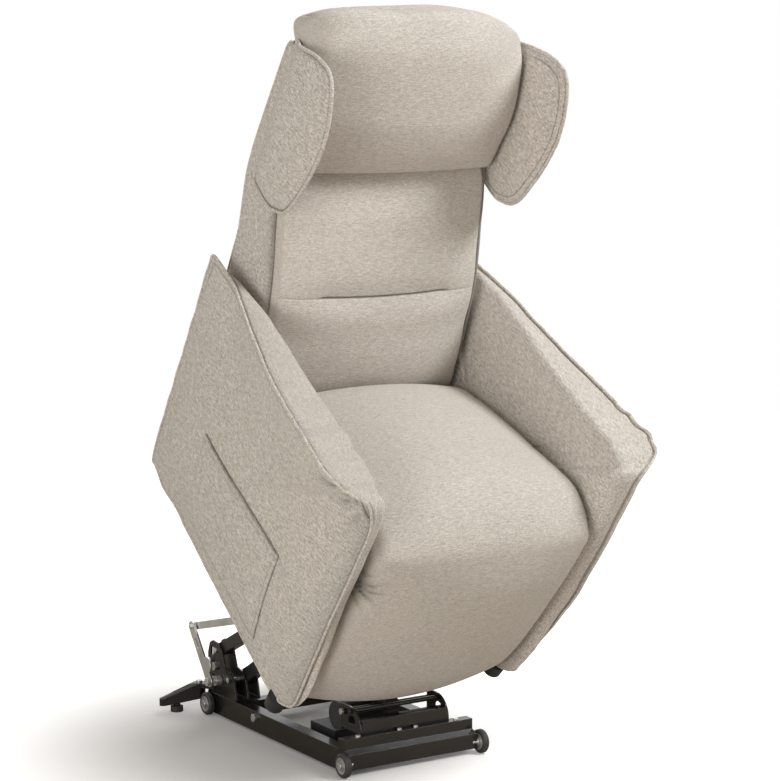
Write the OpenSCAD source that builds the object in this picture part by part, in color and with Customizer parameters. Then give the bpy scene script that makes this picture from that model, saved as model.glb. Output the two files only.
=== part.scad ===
/* [Stance] */
// Forward tilt of the seat in the fully lifted stance, degrees
lift_tilt = 34; // [33:0.5:35]
// Depth position of the arms' lower front corner, front is negative
chair_y = -202.5; // [-204:0.5:-201]
// Height of the arms' lower front corner above the floor
chair_z = 157.5; // [156:0.5:159]
// Shift that centres the whole chair over the origin
stance_y = 67; // [-60:1:80]

/* [Base] */
// Distance between the wheel centres, side to side
wheel_track = 336; // [334:1:338]
// Wheel diameter
wheel_d = 50; // [48:1:50]
// Depth position of the front wheels
wheel_front_y = -228.5; // [-229:0.5:-228]
// Depth position of the rear wheels
wheel_rear_y = 344.5; // [344:0.5:345]
// Height of the side rails' tube
rail_h = 45; // [43:1:46]
// Width of the side rails' tube
rail_w = 28; // [26:1:28]
// Sheet thickness of the folded base parts
sheet = 3; // [2.5:0.5:3]

/* [Lift linkage] */
// Radius of the main pivot pins
pin_r = 6; // [5:0.5:6]
// Radial play of a running pivot
play = 0.05; // [0.02:0.01:0.08]
// Depth of the lift arms' square tube
arm_tube = 30; // [28:1:30]
// Radial clearance of the open pivot at the upper arm's front eye
open_play = 8; // [7:0.5:8.5]

/* [Upholstery] */
// Half the width of the seat pad
seat_half = 249; // [247:1:249]
// Half the width of the back's shell
back_half = 250; // [248:1:250]
// Distance from the centre plane to an arm's inner face at the seat
arm_inner = 256; // [256:1:258]
// Crown of the seat pad above its edges
seat_crown = 30; // [15:1:35]
// Crown of the back pad in front of its edges
back_crown = 24; // [10:1:26]
// Depth of the sewn lumbar channel
channel_depth = 12; // [6:1:16]

/* [Hidden] */
$fn = 48;

// Side rails: their outer face, and their reach in depth
rail_out = 157;
rail_in = rail_out - rail_w;
rail_z0 = 5;
rail_z1 = rail_z0 + rail_h;
rail_y0 = -190;
rail_y1 = 362;
wheel_x = wheel_track / 2;
wheel_w = 14;
hub_r = 17;
axle_r = 4;

// Base pivots, as depth and height
lower_pivot = [275, 90];
upper_pivot = [325, 148];
swing_pivot = [305, 85];
cradle_pivot = [-135, 108];
// Seat frame pivots, as depth and height in the tilted seat frame
lower_eye = [195.5, 19];
upper_eye = [245.5, 30.5];
drag_eye = [237, 8];
back_pivot = [590, 300];
knee_pivot = [64, 351];
// Top of the swing link, and the actuator horn's pin, in the base frame
swing_top = [385, 193];
horn_pin = [262, 239];
horn_root = [214.7, 125.6];

// Lanes across the chair, distance from the centre plane
lower_lane = [100, 122];
upper_lane = [128, 150];
drag_lane = [172, 177];
swing_lane = [180, 185];
side_lane = [160, 165];
board_lane = [228, 246];

// A point of the seat frame, carried into the base frame
function to_base(p) = [
  p[0] * cos(lift_tilt) - p[1] * sin(lift_tilt) + chair_y,
  p[1] * cos(lift_tilt) + p[0] * sin(lift_tilt) + chair_z];
lower_eye_w = to_base(lower_eye);
upper_eye_w = to_base(upper_eye);
drag_eye_w = to_base(drag_eye);

module stance() { translate([0, stance_y, 0]) children(); }

module in_chair() {
  stance() translate([0, chair_y, chair_z]) rotate([lift_tilt, 0, 0]) children();
}

module mirrored(side) {
  if (side < 0) mirror([1, 0, 0]) children();
  else children();
}

module both_sides() {
  children();
  mirror([1, 0, 0]) children();
}

// Extrudes a depth and height outline across the chair, from x0 to x1
module across(x0, x1) {
  translate([x0, 0, 0]) rotate([90, 0, 90]) linear_extrude(x1 - x0) children();
}

module pin_x(p, x0, x1, r) {
  translate([x0, p[0], p[1]]) rotate([0, 90, 0]) cylinder(r = r, h = x1 - x0);
}

// A flat bar between two points, with round ends
module bar(p, q, w) {
  d = q - p;
  translate(p) circle(d = w);
  translate(q) circle(d = w);
  translate(p) rotate(atan2(d[1], d[0])) translate([0, 0.05 - w / 2]) square([norm(d), w - 0.1]);
}

module hole(p, r) { translate(p) circle(r = r); }

function unit(v) = v / norm(v);

// Closed skin through a list of rings of points, capped by a point at each end
module loft(rings, first, last) {
  n = len(rings[0]);
  m = len(rings);
  pts = [for (r = rings) each r, first, last];
  faces = [
    for (j = [0:m - 2], i = [0:n - 1]) each [
      [j * n + i, (j + 1) * n + i, (j + 1) * n + (i + 1) % n],
      [j * n + i, (j + 1) * n + (i + 1) % n, j * n + (i + 1) % n]],
    for (i = [0:n - 1]) [m * n, i, (i + 1) % n],
    for (i = [0:n - 1]) [m * n + 1, (m - 1) * n + (i + 1) % n, (m - 1) * n + i]];
  polyhedron(points = pts, faces = faces);
}

function sgn_pow(v, e) = sign(v) * pow(abs(v), e);
function middle(ring) = [for (k = [0:2]) sum([for (p = ring) p[k]]) / len(ring)];
function sum(v, i = 0) = i < len(v) ? v[i] + sum(v, i + 1) : 0;

// One cross-section of a pad: from the inner point b along the outward normal n.
// t is the thickness at the edges, crown the rise between them, half the half width,
// and hang how far the middle is pulled along the pad's length.
pad_steps = 28;
function pad_ring(b, n, t, crown, half, hang = 0) = [
  for (i = [0:pad_steps - 1])
    let (
      a = 360 * i / pad_steps,
      x = half * sgn_pow(cos(a), 0.42),
      fall = 1 - pow(x / half, 2),
      rise = t / 2 + t / 2 * sgn_pow(sin(a), 0.42) + (sin(a) > 0 ? crown * fall * sin(a) : 0),
      along = [-n[1], n[0]] * hang * fall)
    [x, b[0] + n[0] * rise + along[0], b[1] + n[1] * rise + along[1]]];

module pad(rings) { loft(rings, middle(rings[0]), middle(rings[len(rings) - 1])); }

// Base frame

module base_rail(side) {
  color("#17181a") stance() mirrored(side) difference() {
    across(rail_in, rail_out) difference() {
      translate([rail_y0, rail_z0]) square([rail_y1 - rail_y0, rail_h]);
      hole([wheel_rear_y, wheel_d / 2], axle_r);
    }
    translate([rail_in + sheet, rail_y0 - 1, rail_z0 + sheet])
      cube([rail_w - 2 * sheet, rail_y1 - rail_y0 + 2, rail_h - 2 * sheet]);
  }
}

beam_profile = [[-232, 12], [-232, 44], [-214, 50], [-214, 72], [-190, 72], [-190, 12]];
beam_inside = [[-229, 15], [-229, 42], [-211, 48], [-211, 69], [-193, 69], [-193, 15]];
module front_beam() {
  color("#17181a") stance() {
    difference() {
      across(-rail_out, rail_out) polygon(beam_profile);
      across(-rail_out + sheet, rail_out - sheet) polygon(beam_inside);
      both_sides() pin_x([wheel_front_y, wheel_d / 2], rail_out - 10, rail_out + 1, axle_r);
    }
  }
}

module rear_beam() {
  color("#17181a") stance() difference() {
    translate([-rail_in, 232, 18]) cube([2 * rail_in, 30, 30]);
    translate([-rail_in - 1, 232 + sheet, 18 + sheet])
      cube([2 * rail_in + 2, 30 - 2 * sheet, 30 - 2 * sheet]);
  }
}

post_outline = [
  [236, 54], [362, 54], [362, 138], [354, 160], [342, 167], [318, 165], [300, 152], [286, 116],
  [262, 110], [246, 94]];
slot_low = [343, 136];
slot_high = [343, 150];
module post(side) {
  color("#17181a") stance() mirrored(side) {
    across(152, 156) difference() {
      polygon(post_outline);
      hole(lower_pivot, pin_r);
      hole(upper_pivot, pin_r);
      hole(swing_pivot, 5);
      bar(slot_low, slot_high, 9);
      translate([339, 53]) square([30, 27]);
    }
    across(123, 127) difference() {
      polygon(post_outline);
      hole(lower_pivot, pin_r);
      hole(upper_pivot, pin_r);
    }
    across(95, 98) difference() {
      polygon([[236, 54], [320, 54], [312, 100], [290, 112], [262, 110], [246, 94]]);
      hole(lower_pivot, pin_r);
    }
    translate([95, 236, rail_z1]) cube([61, 126, 4]);
  }
}

// Rounded front bracket that carries the actuator's pin
cradle_round = 47;
cradle_front = [-152, 76];
cradle_tie = [-160, 113];
module cradle_plate(side) {
  color("#1b1c1e") stance() mirrored(side) across(104, 108) difference() {
    union() {
      translate([-199, 72]) square([78, 4]);
      translate([cradle_front[0], 72]) square([31, 51]);
      intersection() {
        translate(cradle_front) circle(r = cradle_round);
        translate([-199, cradle_front[1]]) square([47, 47]);
      }
    }
    hole(cradle_pivot, pin_r);
    hole(cradle_tie, 5);
    intersection() {
      translate([-163, 90]) circle(r = 15);
      translate([-190, 88]) square([40, 30]);
    }
  }
}

module cradle_channel() {
  color("#1b1c1e") stance() {
    translate([-104, -199, 72]) cube([208, 3, 28]);
    translate([-104, -196, 72]) cube([208, 18, 3]);
    translate([-104, -196, 97]) cube([208, 22, 3]);
  }
}

module control_box() {
  color("#2a2b2d") stance() {
    translate([-94, -74, 12]) cube([60, 98, 38]);
    translate([-rail_in, -74, 8]) cube([rail_in - 34, 98, 4]);
  }
}

// Outrigger: an arm that slopes down and out past the rear wheel to a rubber foot
outrigger_root = [139.5, 345];
outrigger_bend = [166, 386];
outrigger_tip = [238, 420];
outrigger_foot = [211, 408];
foot_top = 12;
module outrigger(side) {
  color("#17181a") stance() mirrored(side) difference() {
    union() {
      translate([0, 0, 54]) linear_extrude(10) bar(outrigger_root, outrigger_bend, 22);
      hull() {
        translate([outrigger_bend[0], outrigger_bend[1], 30]) cylinder(r = 14, h = 34);
        translate([outrigger_tip[0], outrigger_tip[1], 14]) cylinder(r = 9, h = 16);
      }
      translate([outrigger_foot[0], outrigger_foot[1], foot_top]) cylinder(r = 8, h = 17);
    }
    hull() {
      translate([188, 396.4, 51]) cylinder(r = 6, h = 20);
      translate([219, 411, 36.5]) cylinder(r = 4, h = 20);
    }
  }
}

module foot_pads() {
  color("#0f0f10") stance() both_sides()
    translate([outrigger_foot[0], outrigger_foot[1], 0]) cylinder(r = 14, h = foot_top);
}

module wheel_axles() {
  color("#b9bbbe") stance() both_sides() {
    for (y = [wheel_front_y, wheel_rear_y]) {
      pin_x([y, wheel_d / 2], rail_out - (y < 0 ? 10 : sheet), wheel_x + wheel_w / 2 + 3, axle_r);
      pin_x([y, wheel_d / 2], wheel_x + wheel_w / 2 + 0.6, wheel_x + wheel_w / 2 + 5, axle_r + 4);
      pin_x([y, wheel_d / 2], rail_out, wheel_x - wheel_w / 2 - 0.6, axle_r + 4);
    }
  }
}

module base_pins() {
  color("#b9bbbe") stance() {
    both_sides() {
      pin_x(lower_pivot, 93, 156, pin_r);
      pin_x(upper_pivot, 123, 160, pin_r);
      pin_x(swing_pivot, 152, 190, 5);
      pin_x(swing_pivot, 188, 192, 9);
      pin_x(swing_pivot, 157, 172, 11);
    }
    pin_x(cradle_pivot, -118, 118, pin_r);
    pin_x(cradle_tie, -112, 112, 5);
  }
}

module base_bolts() {
  color("#b9bbbe") stance() {
    both_sides() {
      pin_x([150, 36], rail_out, rail_out + 7, 8.5);
      pin_x([330, 80], 156, 164, 10);
      pin_x([326, 112], 156, 163, 9);
      for (p = [[351, 121], [354, 104], [352, 88]]) pin_x(p, 156, 163, 5);
      translate([outrigger_bend[0], outrigger_bend[1], 64]) cylinder(r = 7, h = 5);
    }
    for (x = [-120, -20, 20, 120]) translate([x, -206.5, 72]) cylinder(r = 5, h = 4);
  }
}

module tyre(x_side, y) {
  color("#141414") stance() translate([x_side * wheel_x - wheel_w / 2, y, wheel_d / 2])
    rotate([0, 90, 0]) rotate_extrude() polygon([
      [hub_r + 0.05, 0], [wheel_d / 2 - 3, 0], [wheel_d / 2, 3], [wheel_d / 2, wheel_w - 3],
      [wheel_d / 2 - 3, wheel_w], [hub_r + 0.05, wheel_w]]);
}

module hub(x_side, y) {
  color("#c4c6c8") stance() translate([x_side * wheel_x - wheel_w / 2, y, wheel_d / 2])
    rotate([0, 90, 0]) difference() {
      cylinder(r = hub_r, h = wheel_w);
      for (z = [-1, wheel_w - 2]) translate([0, 0, z]) difference() {
        cylinder(r = 14, h = 3);
        translate([0, 0, -1]) cylinder(r = 10, h = 5);
      }
      translate([0, 0, -1]) cylinder(r = axle_r + play, h = wheel_w + 2);
    }
}

// Lift linkage

module lower_arm(side) {
  color("#1b1c1e") stance() mirrored(side) across(lower_lane[0], lower_lane[1]) difference() {
    bar(lower_pivot, lower_eye_w, arm_tube);
    hole(lower_pivot, pin_r + play);
    hole(lower_eye_w, pin_r + play);
  }
}

module torque_tube() {
  color("#1b1c1e") stance() {
    pin_x(horn_root, -100, 100, 14);
    across(-18, -12) bar(horn_root, horn_pin, 30);
    across(12, 18) bar(horn_root, horn_pin, 30);
    pin_x(horn_pin, -15, 15, pin_r);
  }
}

module upper_arm(side) {
  color("#1b1c1e") stance() mirrored(side) across(upper_lane[0], upper_lane[1]) difference() {
    union() {
      bar(upper_pivot, upper_eye_w + 30 * unit(upper_pivot - upper_eye_w), arm_tube - 4);
      translate(upper_eye_w) circle(r = 21);
    }
    hole(upper_pivot, pin_r + play);
    hole(upper_eye_w, pin_r + open_play);
  }
}

module swing_links() {
  color("#c9cbcd") stance() both_sides() {
    across(swing_lane[0], swing_lane[1]) difference() {
      union() {
        bar(swing_pivot, swing_top, 24);
        translate([316, 120]) circle(r = 18);
      }
      hole(swing_pivot, 5 + play);
      bar([356, 154], [366, 167], 7);
    }
    pin_x(swing_top, 169, 189, 5);
  }
}

drag_open = 11;
module drag_links() {
  color("#c9cbcd") stance() both_sides() across(drag_lane[0], drag_lane[1]) difference() {
    union() {
      bar(swing_top, drag_eye_w + 22 * unit(swing_top - drag_eye_w), 17);
      translate(drag_eye_w) circle(r = drag_open + 5);
    }
    hole(swing_top, 5 + play);
    hole(drag_eye_w, drag_open);
  }
}

// Lift actuator: it turns on the cradle pin, and its rod pushes the horn
actuator_run = horn_pin - cradle_pivot;
actuator_angle = atan2(actuator_run[1], actuator_run[0]);
actuator_len = norm(actuator_run);
rod_eye_r = 12;
module on_actuator() {
  stance() translate([0, cradle_pivot[0], cradle_pivot[1]]) rotate([actuator_angle, 0, 0]) children();
}

module lift_actuator() {
  color("#202124") on_actuator() difference() {
    union() {
      rotate([0, 90, 0]) translate([0, 0, -15]) cylinder(r = 16, h = 30);
      translate([-15, 0, -16]) cube([30, 24, 32]);
      translate([-20, 22, -66]) cube([40, 50, 90]);
      translate([0, 70, 0]) rotate([-90, 0, 0]) cylinder(r = 18, h = 202);
    }
    rotate([0, 90, 0]) translate([0, 0, -20]) cylinder(r = pin_r + play, h = 40);
    translate([0, 96, 0]) rotate([-90, 0, 0]) cylinder(r = 10 + play, h = 180);
  }
}

module lift_motor() {
  color("#26272a") on_actuator() translate([-94, 45, -40]) rotate([0, 90, 0]) cylinder(r = 30, h = 74);
}

module lift_rod() {
  color("#c9cbcd") on_actuator() difference() {
    union() {
      translate([0, 182, 0]) rotate([-90, 0, 0]) cylinder(r = 10, h = actuator_len - 182 - rod_eye_r - 2);
      translate([-9, actuator_len, 0]) rotate([0, 90, 0]) cylinder(r = rod_eye_r + 5, h = 18);
    }
    translate([-12, actuator_len, 0]) rotate([0, 90, 0]) cylinder(r = rod_eye_r, h = 24);
  }
}

// Seat frame

module side_plate(side) {
  color("#1b1c1e") in_chair() mirrored(side) across(side_lane[0], side_lane[1]) difference() {
    polygon([
      [74, 92], [120, 60], [168, 6], [196, -6], [262, 4], [300, 40], [420, 150], [524, 190],
      [524, 226], [490, 240], [300, 238], [200, 200], [110, 140], [74, 128]]);
    hole(lower_eye, pin_r);
    hole(upper_eye, pin_r);
    hole(drag_eye, 5);
    hole([90, 110], 14);
    hole([300, 215], 14);
    hole([505, 214], 14);
    bar([260, 110], [340, 170], 40);
  }
}

module cross_tubes() {
  color("#1b1c1e") in_chair() {
    for (p = [[90, 110], [300, 215], [505, 214]]) pin_x(p, -board_lane[0], board_lane[0], 14);
    for (x = [recline_x - 14, recline_x + 9]) across(x, x + 5) bar([505, 214], recline_rear, 24);
    pin_x(recline_rear, recline_x - 14, recline_x + 14, 5);
  }
}

module seat_board(side) {
  color("#b08d5f") in_chair() mirrored(side) {
    across(board_lane[0], board_lane[1]) difference() {
      polygon([
        [80, 90], [80, 356], [540, 267], [566, 316], [606, 320], [618, 290], [612, 236],
        [560, 192], [300, 140]]);
      hole(back_pivot, pin_r);
    }
    for (y = [120, 460]) translate([board_lane[1], y, 165]) cube([arm_inner - board_lane[1], 60, 60]);
  }
}

module seat_end_boards() {
  color("#b08d5f") in_chair() {
    difference() {
      translate([-board_lane[0], 80, 139]) cube([2 * board_lane[0], 18, 215]);
      translate([recline_x - 26, 79, 282]) cube([52, 20, 62]);
    }
    translate([-board_lane[0], 540, 230]) cube([2 * board_lane[0], 18, 37]);
  }
}

// Zigzag wire springs, front board to rear board
spring_turns = 8;
spring_y0 = 101;
spring_y1 = 540;
spring_step = (spring_y1 - spring_y0) / (2 * spring_turns);
module seat_spring(x) {
  drop = atan2(deck_front[1] - deck_rear[1], deck_rear[0] - deck_front[0]);
  translate([x, spring_y0, 355]) rotate([-drop, 0, 0]) {
    k = 1 / cos(drop);
    for (i = [0:2 * spring_turns - 1]) {
      s = i % 2 == 0 ? 1 : -1;
      translate([0, (i + 0.5) * spring_step * k, 0]) linear_extrude(4, center = true)
        translate([s * 9, 0]) difference() {
          union() {
            circle(r = spring_step * k / 2 + 2);
            translate([s > 0 ? -11 : 0, -spring_step * k / 2 - 2]) square([11, spring_step * k + 4]);
          }
          circle(r = spring_step * k / 2 - 2);
          translate([s > 0 ? -12 : 0, -spring_step * k / 2 + 2]) square([12, spring_step * k - 4]);
        }
    }
  }
}

module seat_springs() {
  color("#8d9093") in_chair() for (x = [-160, -80, 0, 80, 160]) seat_spring(x);
}

module frame_pins() {
  color("#b9bbbe") in_chair() both_sides() {
    pin_x(lower_eye, 98, 165, pin_r);
    pin_x(upper_eye, 126, 165, pin_r);
    pin_x(drag_eye, 160, 182, 5);
    pin_x(back_pivot, 204, 246, pin_r);
    pin_x(knee_pivot, 196, 216, 5);
    across(208, 214) difference() {
      bar(knee_pivot, [78, 334], 18);
      translate([80, 300]) square([30, 60]);
    }
  }
}

// Arms: the piped edge of the outer panel as depth, height and distance out
arm_edge = [
  [712, 585, 297], [605, 596, 306], [500, 597, 326], [400, 593, 343], [310, 593, 356],
  [214, 598, 367], [120, 606, 377], [60, 609, 381], [20, 608, 378], [-5, 604, 362],
  [-28, 597, 338], [-44, 580, 316], [-51, 550, 306], [-52, 500, 302], [-50, 429, 302],
  [-44, 339, 301], [-38, 245, 297], [-23, 138, 286], [-8, 45, 275], [6, 2, 273],
  [36, -24, 274], [84, -33, 276], [169, -26, 279], [440, 1, 281], [711, 28, 282], [713, 300, 290]];
arm_mid = [345, 292];
arm_mid_x = 308;
seat_level = 430;
arm_top = 600;

// How far the inner face leans out at a place on the arm
function arm_band(y) = 30 + 38 * (1 - max(0, min(1, y / 700)));
function arm_inside(q, xo) =
  let (k = max(0, min(1, (q[1] - seat_level) / (arm_top - seat_level))))
  arm_inner + k * max(0, xo - arm_band(q[0]) - arm_inner);
function scaled(p, s) = [for (k = [0, 1]) arm_mid[k] + (p[k] - arm_mid[k]) * s];
function skin_x(edge_x, s) = arm_mid_x + (edge_x - arm_mid_x) * s * s;
function arm_ring(s, f) = [
  for (p = arm_edge)
    let (q = scaled(p, s), xo = skin_x(p[2], min(1, s)), xi = arm_inside(q, xo))
    [xi + (xo - xi) * f, q[0], q[1]]];

// Distance out of the arm's outer skin at a depth and height
function arm_skin(q) =
  let (
    n = len(arm_edge),
    d = q - arm_mid,
    found = [
      for (i = [0:n - 1])
        let (
          p0 = arm_edge[i],
          p1 = arm_edge[(i + 1) % n],
          a = [p0[0], p0[1]] - arm_mid,
          b = [p1[0], p1[1]] - arm_mid,
          u = cross(d, b) / cross(a, b),
          v = cross(a, d) / cross(a, b))
        if (u >= 0 && v >= 0) skin_x((u * p0[2] + v * p1[2]) / (u + v), u + v)])
  found[0];

module arm_form() {
  loft(
    [arm_ring(0.6, 0), arm_ring(0.8, 0), arm_ring(0.93, 0), arm_ring(0.985, 0.03),
      arm_ring(1.008, 0.3), arm_ring(1.01, 0.7), arm_ring(1, 0.96), arm_ring(0.93, 1),
      arm_ring(0.8, 1), arm_ring(0.6, 1), arm_ring(0.3, 1)],
    [arm_inner, arm_mid[0], arm_mid[1]], [arm_mid_x, arm_mid[0], arm_mid[1]]);
}

// Plywood board inside each arm, slid in from below
arm_board_y = [84, 608];
module arm(side) {
  color("#bfb3a2") in_chair() mirrored(side) difference() {
    arm_form();
    across(261, 271) polygon([
      [arm_board_y[0], -60], [arm_board_y[1], -20], [arm_board_y[1], 425], [arm_board_y[0], 425]]);
    arm_glides();
  }
}

module arm_boards() {
  color("#b08d5f") in_chair() both_sides() across(261, 271) polygon([
    [arm_board_y[0], -26], [arm_board_y[1], 16], [arm_board_y[1], 425], [arm_board_y[0], 425]]);
}

glide_front = [56, -58];
glide_rear = [630, 16.5];
edge_slope = atan2(glide_rear[1] - glide_front[1], glide_rear[0] - glide_front[0]);
module arm_glides() {
  translate([269, glide_front[0], glide_front[1]]) rotate([edge_slope, 0, 0])
    cylinder(r1 = 20, r2 = 22, h = 30);
  translate([269, glide_rear[0], glide_rear[1]]) rotate([edge_slope, 0, 0])
    cylinder(r1 = 15, r2 = 16, h = 10);
}

module glides() {
  color("#141414") in_chair() both_sides() arm_glides();
}

// Flat pocket stitched to the left arm's outer panel
pocket_corners = [[523, 272], [155, 274], [165, 24], [497, 46]];
pocket_mid = [335, 154];
function pocket_edge(k) =
  let (i = floor(k / 4), t = (k % 4) / 4)
  pocket_corners[i] * (1 - t) + pocket_corners[(i + 1) % 4] * t;
function pocket_ring(s, out) = [
  for (k = [15:-1:0])
    let (q = pocket_mid + (pocket_edge(k) - pocket_mid) * s)
    [-arm_skin(q) - out, q[0], q[1]]];
module side_pocket() {
  color("#b9ad9c") in_chair() loft(
    [pocket_ring(0.5, 2.4), pocket_ring(1, 2.4), pocket_ring(0.995, 5), pocket_ring(0.5, 6)],
    [-arm_skin(pocket_mid) - 2.4, pocket_mid[0], pocket_mid[1]],
    [-arm_skin(pocket_mid) - 6, pocket_mid[0], pocket_mid[1]]);
}

// Seat pad, its rolled front and the pad of the leg rest share one set of sections
deck_front = [64, 365];
deck_rear = [488, 283];
pad_gap = 14;
seat_sections = [
  for (q = [[0, 78, 0.3], [0.012, 97, 0.7], [0.05, 106, 0.95], [0.16, 109, 1], [0.33, 111, 1],
    [0.5, 115, 0.95], [0.68, 119, 0.85], [0.85, 122, 0.7], [1, 124, 0.6]])
    let (b = deck_rear + (deck_front - deck_rear) * q[0], lean = -9 * (1 - q[0]))
    pad_ring(b, [sin(lean), cos(lean)], q[1], seat_crown * q[2], seat_half - (q[0] == 0 ? 5 : 0))];

module seat_cushion() {
  color("#cfc8bc") in_chair() pad(seat_sections);
}

function roll_r(a) = 112 + 26 * pow(sin(a), 2) + 17 * pow(sin(2 * a), 2);
module front_roll() {
  color("#cfc8bc") in_chair() pad([
    for (a = [0.4, 15, 30, 45, 60, 75, 89.6])
      let (n = [-cos(90 - a), sin(90 - a)])
      pad_ring(knee_pivot + n * pad_gap, n, roll_r(90 - a) - pad_gap, 16 + 4 * sin(90 - a), seat_half)]);
}

legrest_top = 350.6;
legrest_bottom = -22;
module legrest_pad() {
  color("#cfc8bc") in_chair() pad([
    for (k = [0:7])
      let (
        u = k / 7,
        z = legrest_top + (legrest_bottom - legrest_top) * u,
        t = 97 - 36 * pow(u, 1.1) - (k == 7 ? 34 : k == 6 ? 4 : 0))
      pad_ring([50 - 5 * u, z], [-1, 0], t, 16 + 6 * sin(180 * u), seat_half - 3 * u, 24 * u * u)]);
}

module legrest_board() {
  color("#b08d5f") in_chair() translate([-215, 51, 10]) cube([430, 12, 316]);
}

// Recline actuator: it hangs behind the seat and its rod turns the leg rest about the knee pivot
recline_x = 65;
recline_rear = [470, 228];
lug_r = 45;
lug_angle = -47.5;
recline_lug = knee_pivot + lug_r * [cos(lug_angle), sin(lug_angle)];
recline_run = recline_lug - recline_rear;
recline_angle = atan2(recline_run[1], recline_run[0]);
recline_len = norm(recline_run);
recline_eye_r = 15.5;
module on_recline() {
  in_chair() translate([recline_x, recline_rear[0], recline_rear[1]]) rotate([recline_angle, 0, 0])
    children();
}

module legrest_hinges() {
  color("#b9bbbe") in_chair() {
    both_sides() across(200, 205) difference() {
      union() {
        translate(knee_pivot) circle(r = 10);
        translate([63.2, 270]) square([5, 81]);
      }
      hole(knee_pivot, 5 + play);
    }
    for (x = [recline_x - 16, recline_x + 10]) across(x, x + 6) union() {
      translate([63.2, 276]) square([5, 50]);
      bar([71, 306], recline_lug, 14);
    }
    pin_x(recline_lug, recline_x - 16, recline_x + 16, pin_r);
  }
}

module recline_actuator() {
  color("#202124") on_recline() difference() {
    union() {
      rotate([0, 90, 0]) translate([0, 0, -8]) cylinder(r = 12, h = 16);
      translate([-8, 0, -12]) cube([16, 24, 24]);
      translate([-20, 22, -20]) cube([40, 44, 80]);
      translate([0, 66, 40]) rotate([-90, 0, 0]) cylinder(r = 19, h = 78);
      translate([0, 66, 0]) rotate([-90, 0, 0]) cylinder(r = 15, h = 174);
    }
    rotate([0, 90, 0]) translate([0, 0, -10]) cylinder(r = 5 + play, h = 20);
    translate([0, 74, 0]) rotate([-90, 0, 0]) cylinder(r = 9 + play, h = 180);
  }
}

module recline_rod() {
  color("#c9cbcd") on_recline() difference() {
    union() {
      translate([0, 80, 0]) rotate([-90, 0, 0]) cylinder(r = 9, h = recline_len - 80 - recline_eye_r - 2);
      translate([-8, recline_len, 0]) rotate([0, 90, 0]) cylinder(r = recline_eye_r + 5, h = 16);
    }
    translate([-12, recline_len, 0]) rotate([0, 90, 0]) cylinder(r = recline_eye_r, h = 24);
  }
}

// Back

// Depth of the back frame's front face at a height
function back_line(z) =
  lookup(z, [[300, 578], [430, 608], [600, 652], [775, 692], [1060, 728], [1110, 733]]);
module back_frame() {
  color("#b08d5f") in_chair() {
    both_sides() across(196, 224) difference() {
      polygon([
        [back_line(310), 310], [572, 290], [586, 282], [604, 288], [back_line(430) + 20, 430],
        [back_line(600) + 18, 600], [back_line(775) + 16, 775], [back_line(1060) + 14, 1060],
        [back_line(1060), 1060], [back_line(775), 775], [back_line(600), 600], [back_line(430), 430]]);
      hole(back_pivot, pin_r + play);
    }
    for (z = [440, 600, 775, 1030])
      translate([-196, back_line(z) + 3, z - 22]) cube([392, 14, 44]);
  }
}

// Rear shell: the height, front face and rear face of each section
shell_profile = [
  [340, 650, 664], [420, 672, 700], [550, 682, 718], [640, 694, 727], [756, 716, 762],
  [902, 738, 770], [1030, 751, 769], [1076, 756, 765]];
shell_half = back_half + 3;
function box_ring(z, y0, y1, half) = [
  for (i = [0:19])
    let (a = 360 * i / 20, x = half * sgn_pow(cos(a), 0.25), k = sgn_pow(sin(a), 0.25))
    [x, (y0 + y1) / 2 + k * (y1 - y0) / 2, z]];
module back_shell() {
  color("#bfb3a2") in_chair() {
    pad([for (s = shell_profile) box_ring(s[0], s[1], s[2], shell_half)]);
    both_sides() across(shell_half - 3.5, shell_half) polygon([
      [524, 348], [514, 430], [534, 526], [551, 600], [583, 680], [624, 773], [676, 850],
      [714, 960], [730, 1060], [754, 1064], [752, 900], [736, 756], [706, 600], [686, 430], [655, 350]]);
  }
}

// Front edge of the back pad at a height, and its thickness there
// as height, depth, and share of the crown
back_edge = [
  [842, 664, 0.4], [812, 640, 0.9], [773, 621, 1], [673, 579, 1], [634, 556, 1], [612, 546, 1],
  [594, 544, 1], [572, 537, 1], [526, 527, 1], [448, 505, 0.8], [380, 494, 0.35], [338, 519, 0.1]];
function back_gap(z) = channel_depth * max(0, 1 - abs(z - 606) / 26);
module back_cushion() {
  color("#cfc8bc") in_chair() pad([
    for (e = back_edge)
      let (rear = back_line(e[0]) - 7, end = e[2] < 0.5 ? 1 : 0)
      pad_ring([rear, e[0]], [-1, 0], rear - e[1], back_crown * e[2] - back_gap(e[0]), 249 - 3 * end)]);
}

// Head pillow hung over the top of the back: height, rear face, front face and share of the crown
pillow_half = 250;
pillow_sections = [
  [1126, 750, 722, 0.5], [1112, 748, 694, 0.9], [1090, 742, 672, 1], [1050, 728, 652, 1],
  [985, 712, 638, 1.1], [905, 698, 636, 1], [858, 690, 644, 0.8], [846, 686, 660, 0.3]];
module head_pillow() {
  color("#cfc8bc") in_chair() pad([
    for (s = pillow_sections)
      pad_ring([s[1], s[0]], [-1, 0], s[1] - s[2], 22 * s[3], pillow_half - (s[3] < 0.6 ? 5 : 0),
        s[0] > 1000 ? 52 * (1000 - s[0]) / 126 : 0)]);
}

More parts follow.
